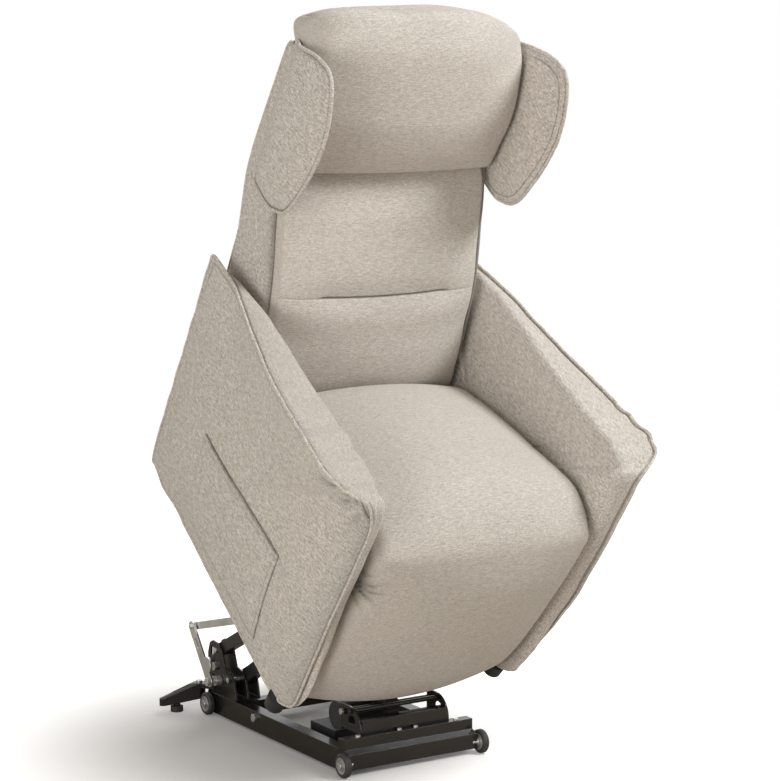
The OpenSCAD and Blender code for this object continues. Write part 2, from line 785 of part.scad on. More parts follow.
// Wings: the piped edge as depth and height
wing_edge = [
  [741, 1089], [707, 1100], [665, 1112], [628, 1122], [592, 1126], [566, 1121], [547, 1104],
  [531, 1072], [519, 1032], [515, 985], [520, 937], [530, 893], [543, 846], [557, 814],
  [577, 795], [598, 786], [620, 779], [660, 783], [712, 796], [734, 840], [738, 950]];
wing_mid = [640, 950];
function wing_out(y) = 275 - 14 * max(0, min(1, (y - 690) / 50));
function wing_ring(s, x) = [
  for (p = wing_edge)
    let (q = wing_mid + ([p[0], p[1]] - wing_mid) * s)
    [max(255, wing_out(p[0]) + x), q[0], q[1]]];
module wing(side) {
  color("#bfb3a2") in_chair() mirrored(side) loft(
    [wing_ring(0.6, -18), wing_ring(0.86, -12), wing_ring(0.97, -7), wing_ring(1, -4), wing_ring(1, 0),
      wing_ring(0.93, 4), wing_ring(0.75, 7)],
    [255, wing_mid[0], wing_mid[1]], [285, wing_mid[0], wing_mid[1]]);
}

base_rail(-1);  // base_rail_left
base_rail(1);  // base_rail_right
front_beam();
rear_beam();
post(-1);  // post_left
post(1);  // post_right
cradle_plate(-1);  // cradle_plate_left
cradle_plate(1);  // cradle_plate_right
cradle_channel();
control_box();
outrigger(-1);  // outrigger_left
outrigger(1);  // outrigger_right
foot_pads();
wheel_axles();
base_pins();
base_bolts();
tyre(-1, wheel_front_y);  // front_left_tyre
hub(-1, wheel_front_y);  // front_left_hub
tyre(1, wheel_front_y);  // front_right_tyre
hub(1, wheel_front_y);  // front_right_hub
tyre(-1, wheel_rear_y);  // rear_left_tyre
hub(-1, wheel_rear_y);  // rear_left_hub
tyre(1, wheel_rear_y);  // rear_right_tyre
hub(1, wheel_rear_y);  // rear_right_hub
lower_arm(-1);  // lower_arm_left
lower_arm(1);  // lower_arm_right
torque_tube();
upper_arm(-1);  // upper_arm_left
upper_arm(1);  // upper_arm_right
swing_links();
drag_links();
lift_actuator();
lift_motor();
lift_rod();
side_plate(-1);  // side_plate_left
side_plate(1);  // side_plate_right
cross_tubes();
seat_board(-1);  // seat_board_left
seat_board(1);  // seat_board_right
seat_end_boards();
seat_springs();
frame_pins();
arm(-1);  // arm_left
arm(1);  // arm_right
arm_boards();
glides();
side_pocket();
seat_cushion();
front_roll();
recline_actuator();
recline_rod();
back_frame();
back_shell();
back_cushion();
head_pillow();
wing(-1);  // wing_left
wing(1);  // wing_right
legrest_board();
legrest_pad();
legrest_hinges();
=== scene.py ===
import math

import bmesh
import bpy
import numpy as np
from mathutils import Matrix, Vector, noise


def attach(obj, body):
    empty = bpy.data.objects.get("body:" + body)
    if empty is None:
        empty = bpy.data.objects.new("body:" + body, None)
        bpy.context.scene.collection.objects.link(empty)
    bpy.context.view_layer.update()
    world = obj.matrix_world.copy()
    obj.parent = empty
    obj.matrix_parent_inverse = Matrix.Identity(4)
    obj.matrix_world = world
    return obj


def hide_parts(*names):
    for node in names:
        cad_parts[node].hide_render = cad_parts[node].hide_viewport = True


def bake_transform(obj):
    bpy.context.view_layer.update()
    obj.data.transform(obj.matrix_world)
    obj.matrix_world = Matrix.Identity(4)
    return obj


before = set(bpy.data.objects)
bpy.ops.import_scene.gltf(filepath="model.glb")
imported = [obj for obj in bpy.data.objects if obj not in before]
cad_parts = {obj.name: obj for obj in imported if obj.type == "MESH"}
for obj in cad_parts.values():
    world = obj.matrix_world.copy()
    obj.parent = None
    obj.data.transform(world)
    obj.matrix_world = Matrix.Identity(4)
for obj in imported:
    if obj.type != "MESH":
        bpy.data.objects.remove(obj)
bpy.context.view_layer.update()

# Base frame: two channel rails and two beams of folded sheet steel, welded posts and
# cradle plates, all dipped in gloss black paint. The outriggers at the rear carry
# rubber foot pads, and bolts with zinc heads hold the beams to the rails.


def nodes_of(name):
    material = bpy.data.materials.new(name)
    material.use_nodes = True
    tree = material.node_tree
    return material, tree, tree.nodes["Principled BSDF"]


NODE_SETTINGS = ("operation", "data_type", "attribute_name", "interpolation_type", "samples",
                 "mode", "axis")


def joined(tree, kind, links=(), **values):
    """A node with its settings and input values, fed by the outputs in links."""
    node = tree.nodes.new(kind)
    for key, value in values.items():
        if key in NODE_SETTINGS:
            setattr(node, key, value)
        else:
            node.inputs[key.replace("_", " ")].default_value = value
    for socket, source in links:
        tree.links.new(source, node.inputs[socket])
    return node


def tone(tree, factor, low, high, start=0.3, end=0.7):
    ramp = tree.nodes.new("ShaderNodeValToRGB")
    ramp.color_ramp.elements[0].position = start
    ramp.color_ramp.elements[1].position = end
    ramp.color_ramp.elements[0].color = (*low, 1)
    ramp.color_ramp.elements[1].color = (*high, 1)
    tree.links.new(factor, ramp.inputs["Fac"])
    return ramp.outputs["Color"]


def painted(name, low, high, rough, peel, metal=0.0, dust=0.12):
    """A hard finish with cloudy wear, a fine peel and softened edges."""
    material, tree, shader = nodes_of(name)
    place = tree.nodes.new("ShaderNodeTexCoord").outputs["Object"]
    cloud = joined(tree, "ShaderNodeTexNoise", [("Vector", place)], Scale=14.0, Detail=6.0, Roughness=0.65)
    fine = joined(tree, "ShaderNodeTexNoise", [("Vector", place)], Scale=peel, Detail=2.0)
    tree.links.new(tone(tree, cloud.outputs["Fac"], low, high), shader.inputs["Base Color"])
    spread = joined(tree, "ShaderNodeMapRange", [("Value", cloud.outputs["Fac"])],
                    To_Min=rough - dust / 2, To_Max=rough + dust)
    tree.links.new(spread.outputs["Result"], shader.inputs["Roughness"])
    worn = joined(tree, "ShaderNodeBevel", samples=4, Radius=0.0018)
    bump = joined(tree, "ShaderNodeBump", [("Height", fine.outputs["Fac"]),
                                           ("Normal", worn.outputs["Normal"])],
                  Strength=0.25, Distance=0.0006)
    tree.links.new(bump.outputs["Normal"], shader.inputs["Normal"])
    shader.inputs["Metallic"].default_value = metal
    return material



def coat(material, *names):
    for name in names:
        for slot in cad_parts[name].material_slots:
            slot.material = material


gloss_black = painted("gloss_black_paint", (0.006, 0.0055, 0.005), (0.014, 0.012, 0.010), 0.17, 260.0)
gloss_black.node_tree.nodes["Principled BSDF"].inputs["Specular IOR Level"].default_value = 0.56
coat(gloss_black, "base_rail_left", "base_rail_right", "front_beam", "rear_beam", "post_left",
     "post_right", "cradle_plate_left", "cradle_plate_right", "cradle_channel",
     "outrigger_left", "outrigger_right")
black_rubber = painted("black_rubber", (0.012, 0.012, 0.012), (0.035, 0.034, 0.033), 0.72, 500.0)
coat(black_rubber, "foot_pads", "glides")
zinc_plate = painted("zinc_plate", (0.50, 0.50, 0.49), (0.74, 0.74, 0.73), 0.34, 700.0, 1.0)
coat(zinc_plate, "base_bolts", "wheel_axles", "frame_pins")
dark_steel = painted("oiled_dark_steel", (0.030, 0.028, 0.026), (0.075, 0.070, 0.064), 0.26, 620.0, 0.8)
# Base pins: oiled steel near the middle, and zinc ends beyond this distance from it.
PIN_SHOULDER = 0.112
tree = dark_steel.node_tree
split = joined(tree, "ShaderNodeSeparateXYZ", [(0, tree.nodes.new("ShaderNodeTexCoord").outputs["Object"])])
reach = joined(tree, "ShaderNodeMath", [(0, split.outputs["X"])], operation="ABSOLUTE")
plated = joined(tree, "ShaderNodeMath", [(0, reach.outputs[0])], operation="GREATER_THAN")
plated.inputs[1].default_value = PIN_SHOULDER
shader = tree.nodes["Principled BSDF"]
ends = joined(tree, "ShaderNodeMix", [("A", shader.inputs["Base Color"].links[0].from_socket),
                                      ("Factor", plated.outputs[0])],
              data_type="RGBA", B=(0.60, 0.60, 0.59, 1))
tree.links.new(ends.outputs["Result"], shader.inputs["Base Color"])
coat(dark_steel, "base_pins")
box_plastic = painted("moulded_black_plastic", (0.016, 0.016, 0.017), (0.030, 0.030, 0.031), 0.48, 1400.0)
coat(box_plastic, "control_box")

# Transport wheels: solid tyres of black polyurethane pressed on turned light hubs,
# each on its own axle through the rail.
tyre_rubber = painted("tyre_rubber", (0.014, 0.014, 0.014), (0.040, 0.039, 0.037), 0.6, 900.0)
hub_grey = painted("hub_grey", (0.30, 0.30, 0.30), (0.46, 0.46, 0.45), 0.38, 700.0, 0.6)
for corner in ("front_left", "front_right", "rear_left", "rear_right"):
    coat(tyre_rubber, corner + "_tyre")
    coat(hub_grey, corner + "_hub")

# Lift linkage: flat steel arms and a torque tube in black paint, with bright zinc
# swing and drag links outside them, all turning on shouldered pins.
satin_black = painted("satin_black_paint", (0.008, 0.0075, 0.007), (0.022, 0.020, 0.018), 0.30, 320.0)
coat(satin_black, "lower_arm_left", "lower_arm_right", "torque_tube", "upper_arm_left", "upper_arm_right")
bright_zinc = painted("bright_zinc", (0.58, 0.58, 0.57), (0.82, 0.82, 0.80), 0.28, 520.0, 1.0)
coat(bright_zinc, "swing_links", "drag_links")

# Lift and leg rest drives: black moulded gear cases and tubes, with plated rods that
# slide out of them.
coat(box_plastic, "lift_actuator", "lift_motor", "recline_actuator")
plated_rod = painted("plated_rod", (0.60, 0.60, 0.60), (0.80, 0.80, 0.80), 0.16, 300.0, 1.0, 0.05)
coat(plated_rod, "lift_rod", "recline_rod")

# Seat frame: steel side plates and cross tubes, plywood side and end boards, and
# sinuous springs of black wire. The back frame and leg rest board are plywood too,
# and the leg rest hangs on zinc hinges.
coat(satin_black, "side_plate_left", "side_plate_right", "cross_tubes")
spring_black = painted("spring_black", (0.03, 0.03, 0.03), (0.07, 0.07, 0.07), 0.4, 400.0, 0.6)
coat(spring_black, "seat_springs")
coat(zinc_plate, "legrest_hinges")
TILT = math.radians(34)


def plywood():
    """Birch ply with its grain along the boards of the tipped seat."""
    material, tree, shader = nodes_of("birch_plywood")
    place = tree.nodes.new("ShaderNodeTexCoord").outputs["Object"]
    turn = joined(tree, "ShaderNodeMapping", [("Vector", place)], Rotation=(-TILT, 0, 0),
                  Scale=(14, 1.4, 60))
    grain = joined(tree, "ShaderNodeTexNoise", [("Vector", turn.outputs["Vector"])], Scale=4.0,
                   Detail=8.0, Roughness=0.6, Distortion=0.4)
    tree.links.new(tone(tree, grain.outputs["Fac"], (0.36, 0.24, 0.13), (0.62, 0.47, 0.29)),
                   shader.inputs["Base Color"])
    bump = joined(tree, "ShaderNodeBump", [("Height", grain.outputs["Fac"])], Strength=0.2, Distance=0.0008)
    tree.links.new(bump.outputs["Normal"], shader.inputs["Normal"])
    shader.inputs["Roughness"].default_value = 0.62
    return material


birch = plywood()
coat(birch, "seat_board_left", "seat_board_right", "seat_end_boards", "arm_boards", "back_frame",
     "legrest_board")

# Arms: a plywood board padded with foam and covered in a woven greige cloth. The outer
# panel, the rolled band and the inner panel meet in a flanged seam that runs right
# round the outer edge, and the cloth gathers a little at the front corner.
STANCE_Y, STANCE_Z = -135.5, 157.5


def lifted(points):
    """Scene places, in metres, of points in the chair's own frame: millimetres across the
    chair, to the rear and up, before the chair is tipped forward."""
    p = np.asarray(points, float).reshape(-1, 3)
    y = p[:, 1] * math.cos(TILT) - p[:, 2] * math.sin(TILT) + STANCE_Y
    z = p[:, 2] * math.cos(TILT) + p[:, 1] * math.sin(TILT) + STANCE_Z
    return np.column_stack([p[:, 0], y, z]) / 1000.0


def cloth(name, run, long, thin, contrast):
    """Chenille weave whose slubs run along the chair's x or y. A per-point attribute of painted shade
    darkens seams and folds where it is above nought, and below nought calms the weave and paints it darker
    as shade."""
    material, tree, shader = nodes_of(name)
    place = tree.nodes.new("ShaderNodeTexCoord").outputs["Object"]
    turn = joined(tree, "ShaderNodeMapping", [("Vector", place)], Rotation=(-TILT, 0, 0))
    scale = (long, thin, thin) if run == "x" else (thin, long, thin)
    along = joined(tree, "ShaderNodeMapping", [("Vector", turn.outputs["Vector"])], Scale=scale)
    slub = joined(tree, "ShaderNodeTexNoise", [("Vector", along.outputs["Vector"])], Scale=1.0,
                  Detail=3.0, Roughness=0.62)
    yarn = joined(tree, "ShaderNodeTexNoise", [("Vector", along.outputs["Vector"])], Scale=3.4,
                  Detail=1.0)
    pile = joined(tree, "ShaderNodeTexNoise", [("Vector", place)], Scale=950.0, Detail=2.0)
    wear = joined(tree, "ShaderNodeTexNoise", [("Vector", place)], Scale=7.0, Detail=4.0)
    total = slub.outputs["Fac"]
    for part in (yarn, pile):
        total = joined(tree, "ShaderNodeMath", [(0, total), (1, part.outputs["Fac"])],
                       operation="ADD").outputs[0]
    mean = joined(tree, "ShaderNodeMath", [(0, total)], operation="DIVIDE")
    mean.inputs[1].default_value = 3.0
    middle = np.array([0.575, 0.530, 0.480])
    spread = np.array([0.200, 0.200, 0.192]) * contrast
    weave = tone(tree, mean.outputs[0], tuple(middle - spread), tuple(middle + spread), 0.37, 0.61)
    shift = joined(tree, "ShaderNodeMapRange", [("Value", wear.outputs["Fac"])], To_Min=0.95, To_Max=1.03)
    # Per-point painted shade: above nought it darkens the cloth as shade in seams and folds, below nought
    # it calms the weave towards a darker flat colour as painted shade.
    sewn = joined(tree, "ShaderNodeAttribute", attribute_name="painted_shade")
    calm_and_painted_shade = joined(tree, "ShaderNodeMapRange", [("Value", sewn.outputs["Fac"])], From_Min=0.0,
                  From_Max=-1.0, To_Max=0.6)
    even = joined(tree, "ShaderNodeMix", [("Factor", calm_and_painted_shade.outputs["Result"]), ("A", weave)],
                  data_type="RGBA", B=(*(middle * 0.84), 1))
    dark = joined(tree, "ShaderNodeMapRange", [("Value", sewn.outputs["Fac"])], To_Min=1.0, To_Max=0.30)
    # The base colour is the weave times a random wear tone and the painted shade.
    level = joined(tree, "ShaderNodeMath", [(0, shift.outputs["Result"]), (1, dark.outputs["Result"])],
                   operation="MULTIPLY")
    worn = joined(tree, "ShaderNodeVectorMath", [(0, even.outputs["Result"]), ("Scale", level.outputs[0])],
                  operation="SCALE")
    tree.links.new(worn.outputs["Vector"], shader.inputs["Base Color"])
    bump = joined(tree, "ShaderNodeBump", [("Height", mean.outputs[0])], Strength=0.9, Distance=0.0022)
    tree.links.new(bump.outputs["Normal"], shader.inputs["Normal"])
    for socket, value in (("Roughness", 0.92), ("Specular IOR Level", 0.18), ("Sheen Weight", 0.22),
                          ("Sheen Roughness", 0.45)):
        shader.inputs[socket].default_value = value
    return material



cloth_side = cloth("greige_weave_sides", "y", 85.0, 360.0, 1.8)
cloth_front = cloth("greige_weave_front", "x", 80.0, 420.0, 1.0)


def loop_through(points, count):
    """A smooth closed curve of evenly spaced points."""
    p = np.asarray(points, float)
    n = len(p)
    out = []
    for i in range(n):
        a, b, c, d = p[i - 1], p[i], p[(i + 1) % n], p[(i + 2) % n]
        for t in np.linspace(0, 1, 24, endpoint=False):
            out.append(0.5 * (2 * b + (c - a) * t + (2 * a - 5 * b + 4 * c - d) * t * t
                              + (3 * b - a - 3 * c + d) * t ** 3))
    out = np.array(out)
    step = np.linalg.norm(np.roll(out, -1, 0) - out, axis=1)
    at = np.concatenate([[0], np.cumsum(step)])
    closed = np.vstack([out, out[:1]])
    where = np.linspace(0, at[-1], count, endpoint=False)
    return np.column_stack([np.interp(where, at, closed[:, k]) for k in range(p.shape[1])])


def piece_of(name, points, faces, material, painted_shade=None):
    mesh = bpy.data.meshes.new(name)
    mesh.from_pydata([tuple(v) for v in points], [], faces)
    # Painted shade, one value per point, for the cloth to darken by.
    if painted_shade is not None:
        mesh.attributes.new("painted_shade", "FLOAT", "POINT").data.foreach_set("value", np.concatenate(painted_shade))
    mesh.materials.append(material)
    work = bmesh.new()
    work.from_mesh(mesh)
    bmesh.ops.remove_doubles(work, verts=work.verts, dist=0.00002)
    bmesh.ops.recalc_face_normals(work, faces=work.faces)
    work.to_mesh(mesh)
    work.free()
    mesh.polygons.foreach_set("use_smooth", [True] * len(mesh.polygons))
    piece = bpy.data.objects.new(name, mesh)
    bpy.context.scene.collection.objects.link(piece)
    soft = piece.modifiers.new("soft", "SUBSURF")
    soft.levels = soft.render_levels = 1
    return piece


def skinned(name, rings, material, closed=False, painted_shade=None):
    """A skin through rings of points in the chair's own frame. The last ring joins the
    first where it is closed, and otherwise each end is closed flat."""
    n = len(rings[0])
    m = len(rings)
    points = list(lifted(np.concatenate(rings)))
    faces = [(j * n + i, (j + 1) * n + i, (j + 1) * n + (i + 1) % n, j * n + (i + 1) % n)
             for j in range(m - 1) for i in range(n)]
    if closed:
        faces += [((m - 1) * n + i, i, (i + 1) % n, (m - 1) * n + (i + 1) % n) for i in range(n)]
    else:
        end = (m - 1) * n
        faces += [(i, i + 1, n - 2 - i, n - 1 - i) for i in range(n // 2 - 1)]
        faces += [(end + n - 1 - i, end + n - 2 - i, end + i + 1, end + i) for i in range(n // 2 - 1)]
    return piece_of(name, points, faces, material, painted_shade)


# Each row: depth, height and distance from the chair's middle of a point of the seam.
ARM_EDGE = [
    (712, 585, 297), (659, 591, 299), (605, 596, 304), (550, 598, 316), (500, 597, 326),
    (453, 594, 334), (400, 593, 342), (357, 592, 350), (310, 592, 356), (262, 595, 362),
    (214, 598, 367), (167, 602, 372), (120, 606, 377), (76, 608, 380), (35, 608, 380),
    (2, 606, 369), (-21, 600, 347), (-39, 591, 321), (-49, 556, 306), (-52, 515, 302),
    (-50, 472, 302), (-49, 430, 302), (-47, 385, 302), (-44, 339, 301), (-41, 293, 301),
    (-38, 245, 299), (-31, 192, 293), (-23, 138, 287), (-15, 82, 280), (-6, 24, 273),
    (4, -4, 272), (40, -27, 273), (78, -31, 276), (153, -22, 279), (300, -11, 280),
    (440, 1, 281), (580, 14, 281), (690, 26, 282), (711, 40, 282), (713, 200, 287),
    (713, 400, 292), (714, 560, 297)]
ARM_MID = np.array([345.0, 292.0])
ARM_CORNER = (-4, 604)
OUTER_FACE, INNER_FACE, BOARD_FACE, BOARD_TOP = 308, 256.0, 257.5, 440
REAR_GLIDE = 630
# Shares of the way out from the middle of the panel, close together at the sewn flange.
PANEL_SHARES = (0.12, 0.3, 0.45, 0.58, 0.7, 0.78, 0.84, 0.885, 0.915, 0.94, 0.955, 0.964, 0.97,
                0.976, 0.984, 0.993)
FLANGE_RING = 11
# How far the band stands out beyond the seam: its crest by depth, its front by height.
CREST_RISE = ((-30, 0, 47, 144, 248, 321, 397, 480, 562, 659, 721),
              (-11, -5, 0, 3, 8, 13, 16, 14, 3, -3, -17))
FRONT_RISE = ((-20, 11, 60, 102, 150, 203, 314, 423, 542, 590),
              (0, 6, 14, 16, 10, 5, -7, -7, -9, -6))
# Each row: millimetres in from the seam, share of the way on to the crest, share of
# the crest's rise, and the drop below it.
TOP_BAND = [(0, 0, 0, 0), (2.5, 0, 0, -4.5), (4.5, 0, 0.05, -4.5), (7.5, 0, 0.15, 0), (7, 0.3, 0.5, 0),
            (7, 0.6, 0.85, 0), (7, 0.85, 1, 0), (7, 1, 1, 0), (12, 1, 1, -3), (17, 1, 1, -13),
            (20, 1, 1, -30), (24, 1, 1, -70), (28, 1, 1, -115), (31, 1, 1, -165)]
FRONT_BAND = [(0, 0, 0, 0), (2.5, 0, 0, -4.5), (4.5, 0, 0.1, -4.5), (7.5, 0, 0.3, 0), (7, 0.15, 0.7, 0),
              (7, 0.3, 1, 0), (7, 0.45, 1, -1), (7, 0.6, 1, -5), (7, 0.75, 1, -12), (7, 0.88, 1, -22),
              (7, 0.96, 1, -36), (7, 1, 1, -55), (7, 1, 1, -90), (7, 1, 1, -140)]
LOW_BAND = [(0, 0, 0, 0), (2.5, 0, 0, -3.5), (4.5, 0, 0, -3.5), (7.5, 0, 0, 0), (7, 0.1, 0, 1.5),
            (7, 0.25, 0, 2), (7, 0.4, 0, 2), (7, 0.55, 0, 1), (7, 0.7, 0, 0), (7, 0.85, 0, -3),
            (7, 0.95, 0, -7), (7, 1, 0, -16), (7, 1, 0, -50), (7, 1, 0, -110)]


def edge_frame(points, middle, count):
    """Points round a sewn edge, the outward direction in its plane, and rays from the middle."""
    edge = loop_through(points, count)
    p = edge[:, :2].copy()
    ahead = np.roll(p, -2, 0) - np.roll(p, 2, 0)
    ahead /= np.linalg.norm(ahead, axis=1)[:, None]
    normal = np.column_stack([ahead[:, 1], -ahead[:, 0]])
    ray = p - middle
    reach = np.linalg.norm(ray, axis=1)
    ray /= reach[:, None]
    if np.sum(normal * ray) < 0:
        normal = -normal
    return p, edge[:, 2:], normal, ray, reach


def ripple(points, size, seed):
    """Smooth uneven heights, from -1 to 1, at points of a panel."""
    return np.array([noise.noise(Vector((q[0] / size, q[1] / size, seed))) for q in points])


def arm_rings(side):
    """Rings from the middle of the outer panel over the seam and the rolled band to the inner panel, the
    painted shade at each point, and the seam with its outward direction."""
    p, out, normal, ray, reach = edge_frame(ARM_EDGE, ARM_MID, 360)
    out = out[:, 0]
    gather = np.exp(-((p[:, 0] - 70) / 120) ** 2) * (p[:, 1] > 560) + 0.12
    pucker = ripple(p, 13, 3.0 + side)
    lump = ripple(p, 42, 9.0 + side)
    p = p + normal * (gather * (4.5 * pucker + 9.0 * lump))[:, None]
    out = out + 8.0 * gather * lump
    out = out + 6.0 * np.exp(-((p[:, 0] - REAR_GLIDE) / 28) ** 2) * (p[:, 1] < 80)
    share = np.column_stack([np.clip(normal[:, 1], 0, 1), np.clip(-normal[:, 0], 0, 1),
                             np.clip(-normal[:, 1], 0, 1), np.clip(normal[:, 0], 0, 1)]) ** 1.6
    share /= share.sum(1)[:, None]
    slope = np.clip(np.sum(normal * ray, axis=1), 0.55, 1)
    rings, painted_shade = [], []
    for s in PANEL_SHARES:
        q = ARM_MID + ray * (reach * s)[:, None]
        x = OUTER_FACE + (out - OUTER_FACE) * s * s + 4 * (1 - s ** 4)
        x = x + 15 * share[:, 1] * (s * s - s ** 12)
        flange = share[:, 0] * np.clip((p[:, 0] - 520) / 120, 0, 1)
        seam = flange * math.exp(-((s - 0.966) / 0.0045) ** 2)
        x = x - 3.0 * seam
        # Painted shade in the flange seam, along the front edge by the welt and in a hollow under the front
        # top corner.
        hollow = np.exp(-((q[:, 0] - 30) ** 2 + (q[:, 1] - 540) ** 2) / 60 ** 2)
        painted_shade.append(0.6 * seam + 0.35 * share[:, 1] * (s > 0.99) + 0.16 * hollow * s ** 6)
        x = x - 9 * np.exp(-((q[:, 0] - 22) ** 2 + (q[:, 1] - 556) ** 2) / 42 ** 2) * s
        fold = (2.4 * pucker + 1.5 * lump) * gather * math.exp(-((s - 0.93) / 0.05) ** 2)
        fold = fold + 1.2 * ripple(q, 60, 15.0 + side)
        dy, dz = q[:, 0] - ARM_CORNER[0], q[:, 1] - ARM_CORNER[1]
        away = np.hypot(dy, dz)
        wave = np.clip(np.cos(11 * np.arctan2(dz, dy) + 3.0 * ripple(q, 45, 40.0 + side)), 0, 1)
        pull = np.exp(-((away - 42) / 40) ** 2)
        fold = fold - 5.0 * pull * wave ** 2
        # Painted shade in the valleys of the folds round the front corner, and darker towards the front
        # edge where the panel rolls away from the light.
        painted_shade[-1] = painted_shade[-1] + 0.85 * pull * wave ** 2 + 0.46 * share[:, 1] * s ** 12
        rings.append(np.column_stack([x + fold, q]))
    crest_rise = np.interp(p[:, 0], *CREST_RISE)
    front_rise = np.interp(p[:, 1], *FRONT_RISE)
    for row in range(len(TOP_BAND)):
        width = np.zeros(len(p))
        lift = np.zeros(len(p))
        for k, band in enumerate((TOP_BAND, FRONT_BAND, LOW_BAND, LOW_BAND)):
            flat, part, rise, drop = band[row]
            start = 294.0 if k == 0 else 263.0
            full = crest_rise if k == 0 else front_rise
            width += share[:, k] * (flat + part * np.maximum(out - start, 0))
            lift += share[:, k] * (full * rise + drop)
        x = np.maximum(out - width, INNER_FACE)
        tip = np.exp(-((p[:, 0] - 714) ** 2 + (p[:, 1] - 590) ** 2) / 55 ** 2)
        lift = lift - 26 * tip * np.clip(width / 30, 0, 1)
        q = p + ray * (lift / slope)[:, None]
        if 3 < row < 12:
            q = q + normal * (1.3 * ripple(q, 55, 30.0 + side))[:, None]
        if row > len(TOP_BAND) - 4:
            x = np.where(q[:, 1] < BOARD_TOP, np.minimum(x, BOARD_FACE), x)
        # Painted shade in the groove beside the welt; below nought the top band's weave is calmed and
        # painted darker as shade, more on the left arm.
        painted_shade.append((0.55 - 0.35 * share[:, 0]) * (row in (1, 2))
                      - (0.9 if side < 0 else 0.4) * share[:, 0] * (2 < row < 13))
        rings.append(np.column_stack([x, q]))
    last = rings[-1]
    for s in (0.85, 0.6, 0.3):
        q = ARM_MID + (last[:, 1:] - ARM_MID) * s
        painted_shade.append(np.zeros(len(p)))
        rings.append(np.column_stack([np.full(len(p), INNER_FACE), q]))
    return [np.column_stack([side * r[:, 0], r[:, 1:]]) for r in rings], painted_shade, p, out, normal


def tube(name, line, radius, material, closed=True):
    """A cord of cloth swept along a line of points in the chair's own frame."""
    line = np.asarray(line, float)
    ahead = np.roll(line, -1, 0) - np.roll(line, 1, 0)
    if not closed:
        ahead[0], ahead[-1] = line[1] - line[0], line[-1] - line[-2]
    ahead /= np.linalg.norm(ahead, axis=1)[:, None]
    first = np.cross(ahead, (1.0, 0.02, 0.03))
    first /= np.linalg.norm(first, axis=1)[:, None]
    second = np.cross(ahead, first)
    turns = np.linspace(0, 2 * math.pi, 8, endpoint=False)
    rings = [line[i] + radius * np.column_stack([
        [math.cos(a) * first[i][k] + math.sin(a) * second[i][k] for a in turns] for k in range(3)])
        for i in range(len(line))]
    return skinned(name, rings, material, closed)


def settled(piece):
    """Makes what the piece's modifiers do part of its mesh, and returns the mesh."""
    bpy.context.view_layer.update()
    whole = bpy.data.meshes.new_from_object(piece.evaluated_get(bpy.context.evaluated_depsgraph_get()))
    piece.modifiers.clear()
    piece.data = whole
    return whole


STITCH_STEP, STITCH_LONG, STITCH_THICK = 0.0055, 0.0034, 0.0011


def stitched(name, line, material):
    """A row of single thread stitches along a line in the chair's own frame."""
    mesh = bpy.data.meshes.new(name)
    mesh.from_pydata([tuple(v) for v in lifted(line)], [(i, i + 1) for i in range(len(line) - 1)], [])
    piece = bpy.data.objects.new(name, mesh)
    bpy.context.scene.collection.objects.link(piece)
    tree = bpy.data.node_groups.new(name + "_rows", "GeometryNodeTree")
    for way in ("INPUT", "OUTPUT"):
        tree.interface.new_socket("Geometry", in_out=way, socket_type="NodeSocketGeometry")
    given = joined(tree, "NodeGroupInput")
    row = joined(tree, "GeometryNodeMeshToCurve", [("Mesh", given.outputs["Geometry"])])
    spaced = joined(tree, "GeometryNodeResampleCurve", [("Curve", row.outputs["Curve"])],
                    mode="LENGTH", Length=STITCH_STEP)
    ahead = joined(tree, "GeometryNodeInputTangent")
    turn = joined(tree, "FunctionNodeAlignRotationToVector", [("Vector", ahead.outputs["Tangent"])],
                  axis="Z")
    bead = joined(tree, "GeometryNodeMeshUVSphere", Segments=6, Rings=4, Radius=0.5)
    vary = joined(tree, "FunctionNodeRandomValue", data_type="FLOAT", Min=0.85, Max=1.1, Seed=3)
    drawn = joined(tree, "ShaderNodeMath", [(1, [o for o in vary.outputs if o.enabled][0])],
                   operation="MULTIPLY")
    drawn.inputs[0].default_value = STITCH_LONG
    size = joined(tree, "ShaderNodeCombineXYZ", [("Z", drawn.outputs[0])], X=STITCH_THICK, Y=STITCH_THICK)
    put = joined(tree, "GeometryNodeInstanceOnPoints", [
        ("Points", spaced.outputs["Curve"]), ("Instance", bead.outputs["Mesh"]),
        ("Rotation", turn.outputs["Rotation"]), ("Scale", size.outputs["Vector"])])
    real = joined(tree, "GeometryNodeRealizeInstances", [("Geometry", put.outputs["Instances"])])
    coated = joined(tree, "GeometryNodeSetMaterial", [("Geometry", real.outputs["Geometry"])],
                    Material=material)
    joined(tree, "NodeGroupOutput", [("Geometry", coated.outputs["Geometry"])])
    piece.modifiers.new("rows", "NODES").node_group = tree
    settled(piece)
    return piece


thread = painted("sewing_thread", (0.33, 0.30, 0.26), (0.45, 0.41, 0.36), 0.8, 900.0)
for side, word in ((-1, "left"), (1, "right")):
    rings, painted_shade, edge, out, normal = arm_rings(side)
    arm = skinned("arm_cover_" + word, rings, cloth_side, False, painted_shade)
    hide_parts("arm_" + word)
    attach(arm, "seat_body")
    piping = tube("arm_piping_" + word, np.column_stack([side * (out + 0.3), edge + normal * 1.4]), 3.1,
                  cloth_side)
    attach(piping, "seat_body")
    flange = (edge[:, 1] > 500) & (edge[:, 0] > 120)
    sewn = (rings[FLANGE_RING] + (side * 0.6, 0, 0))[flange]
    order = np.argsort(sewn[:, 1])
    row = stitched("arm_stitches_" + word, sewn[order], thread)
    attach(row, "seat_body")
    if side < 0:
        ARM_FACE = np.vstack(rings[:len(PANEL_SHARES)]) * (-1, 1, 1)

# Side pocket: a flat patch of the same cloth on the left arm's outer panel, hemmed along
# its top and stitched down on its other edges.


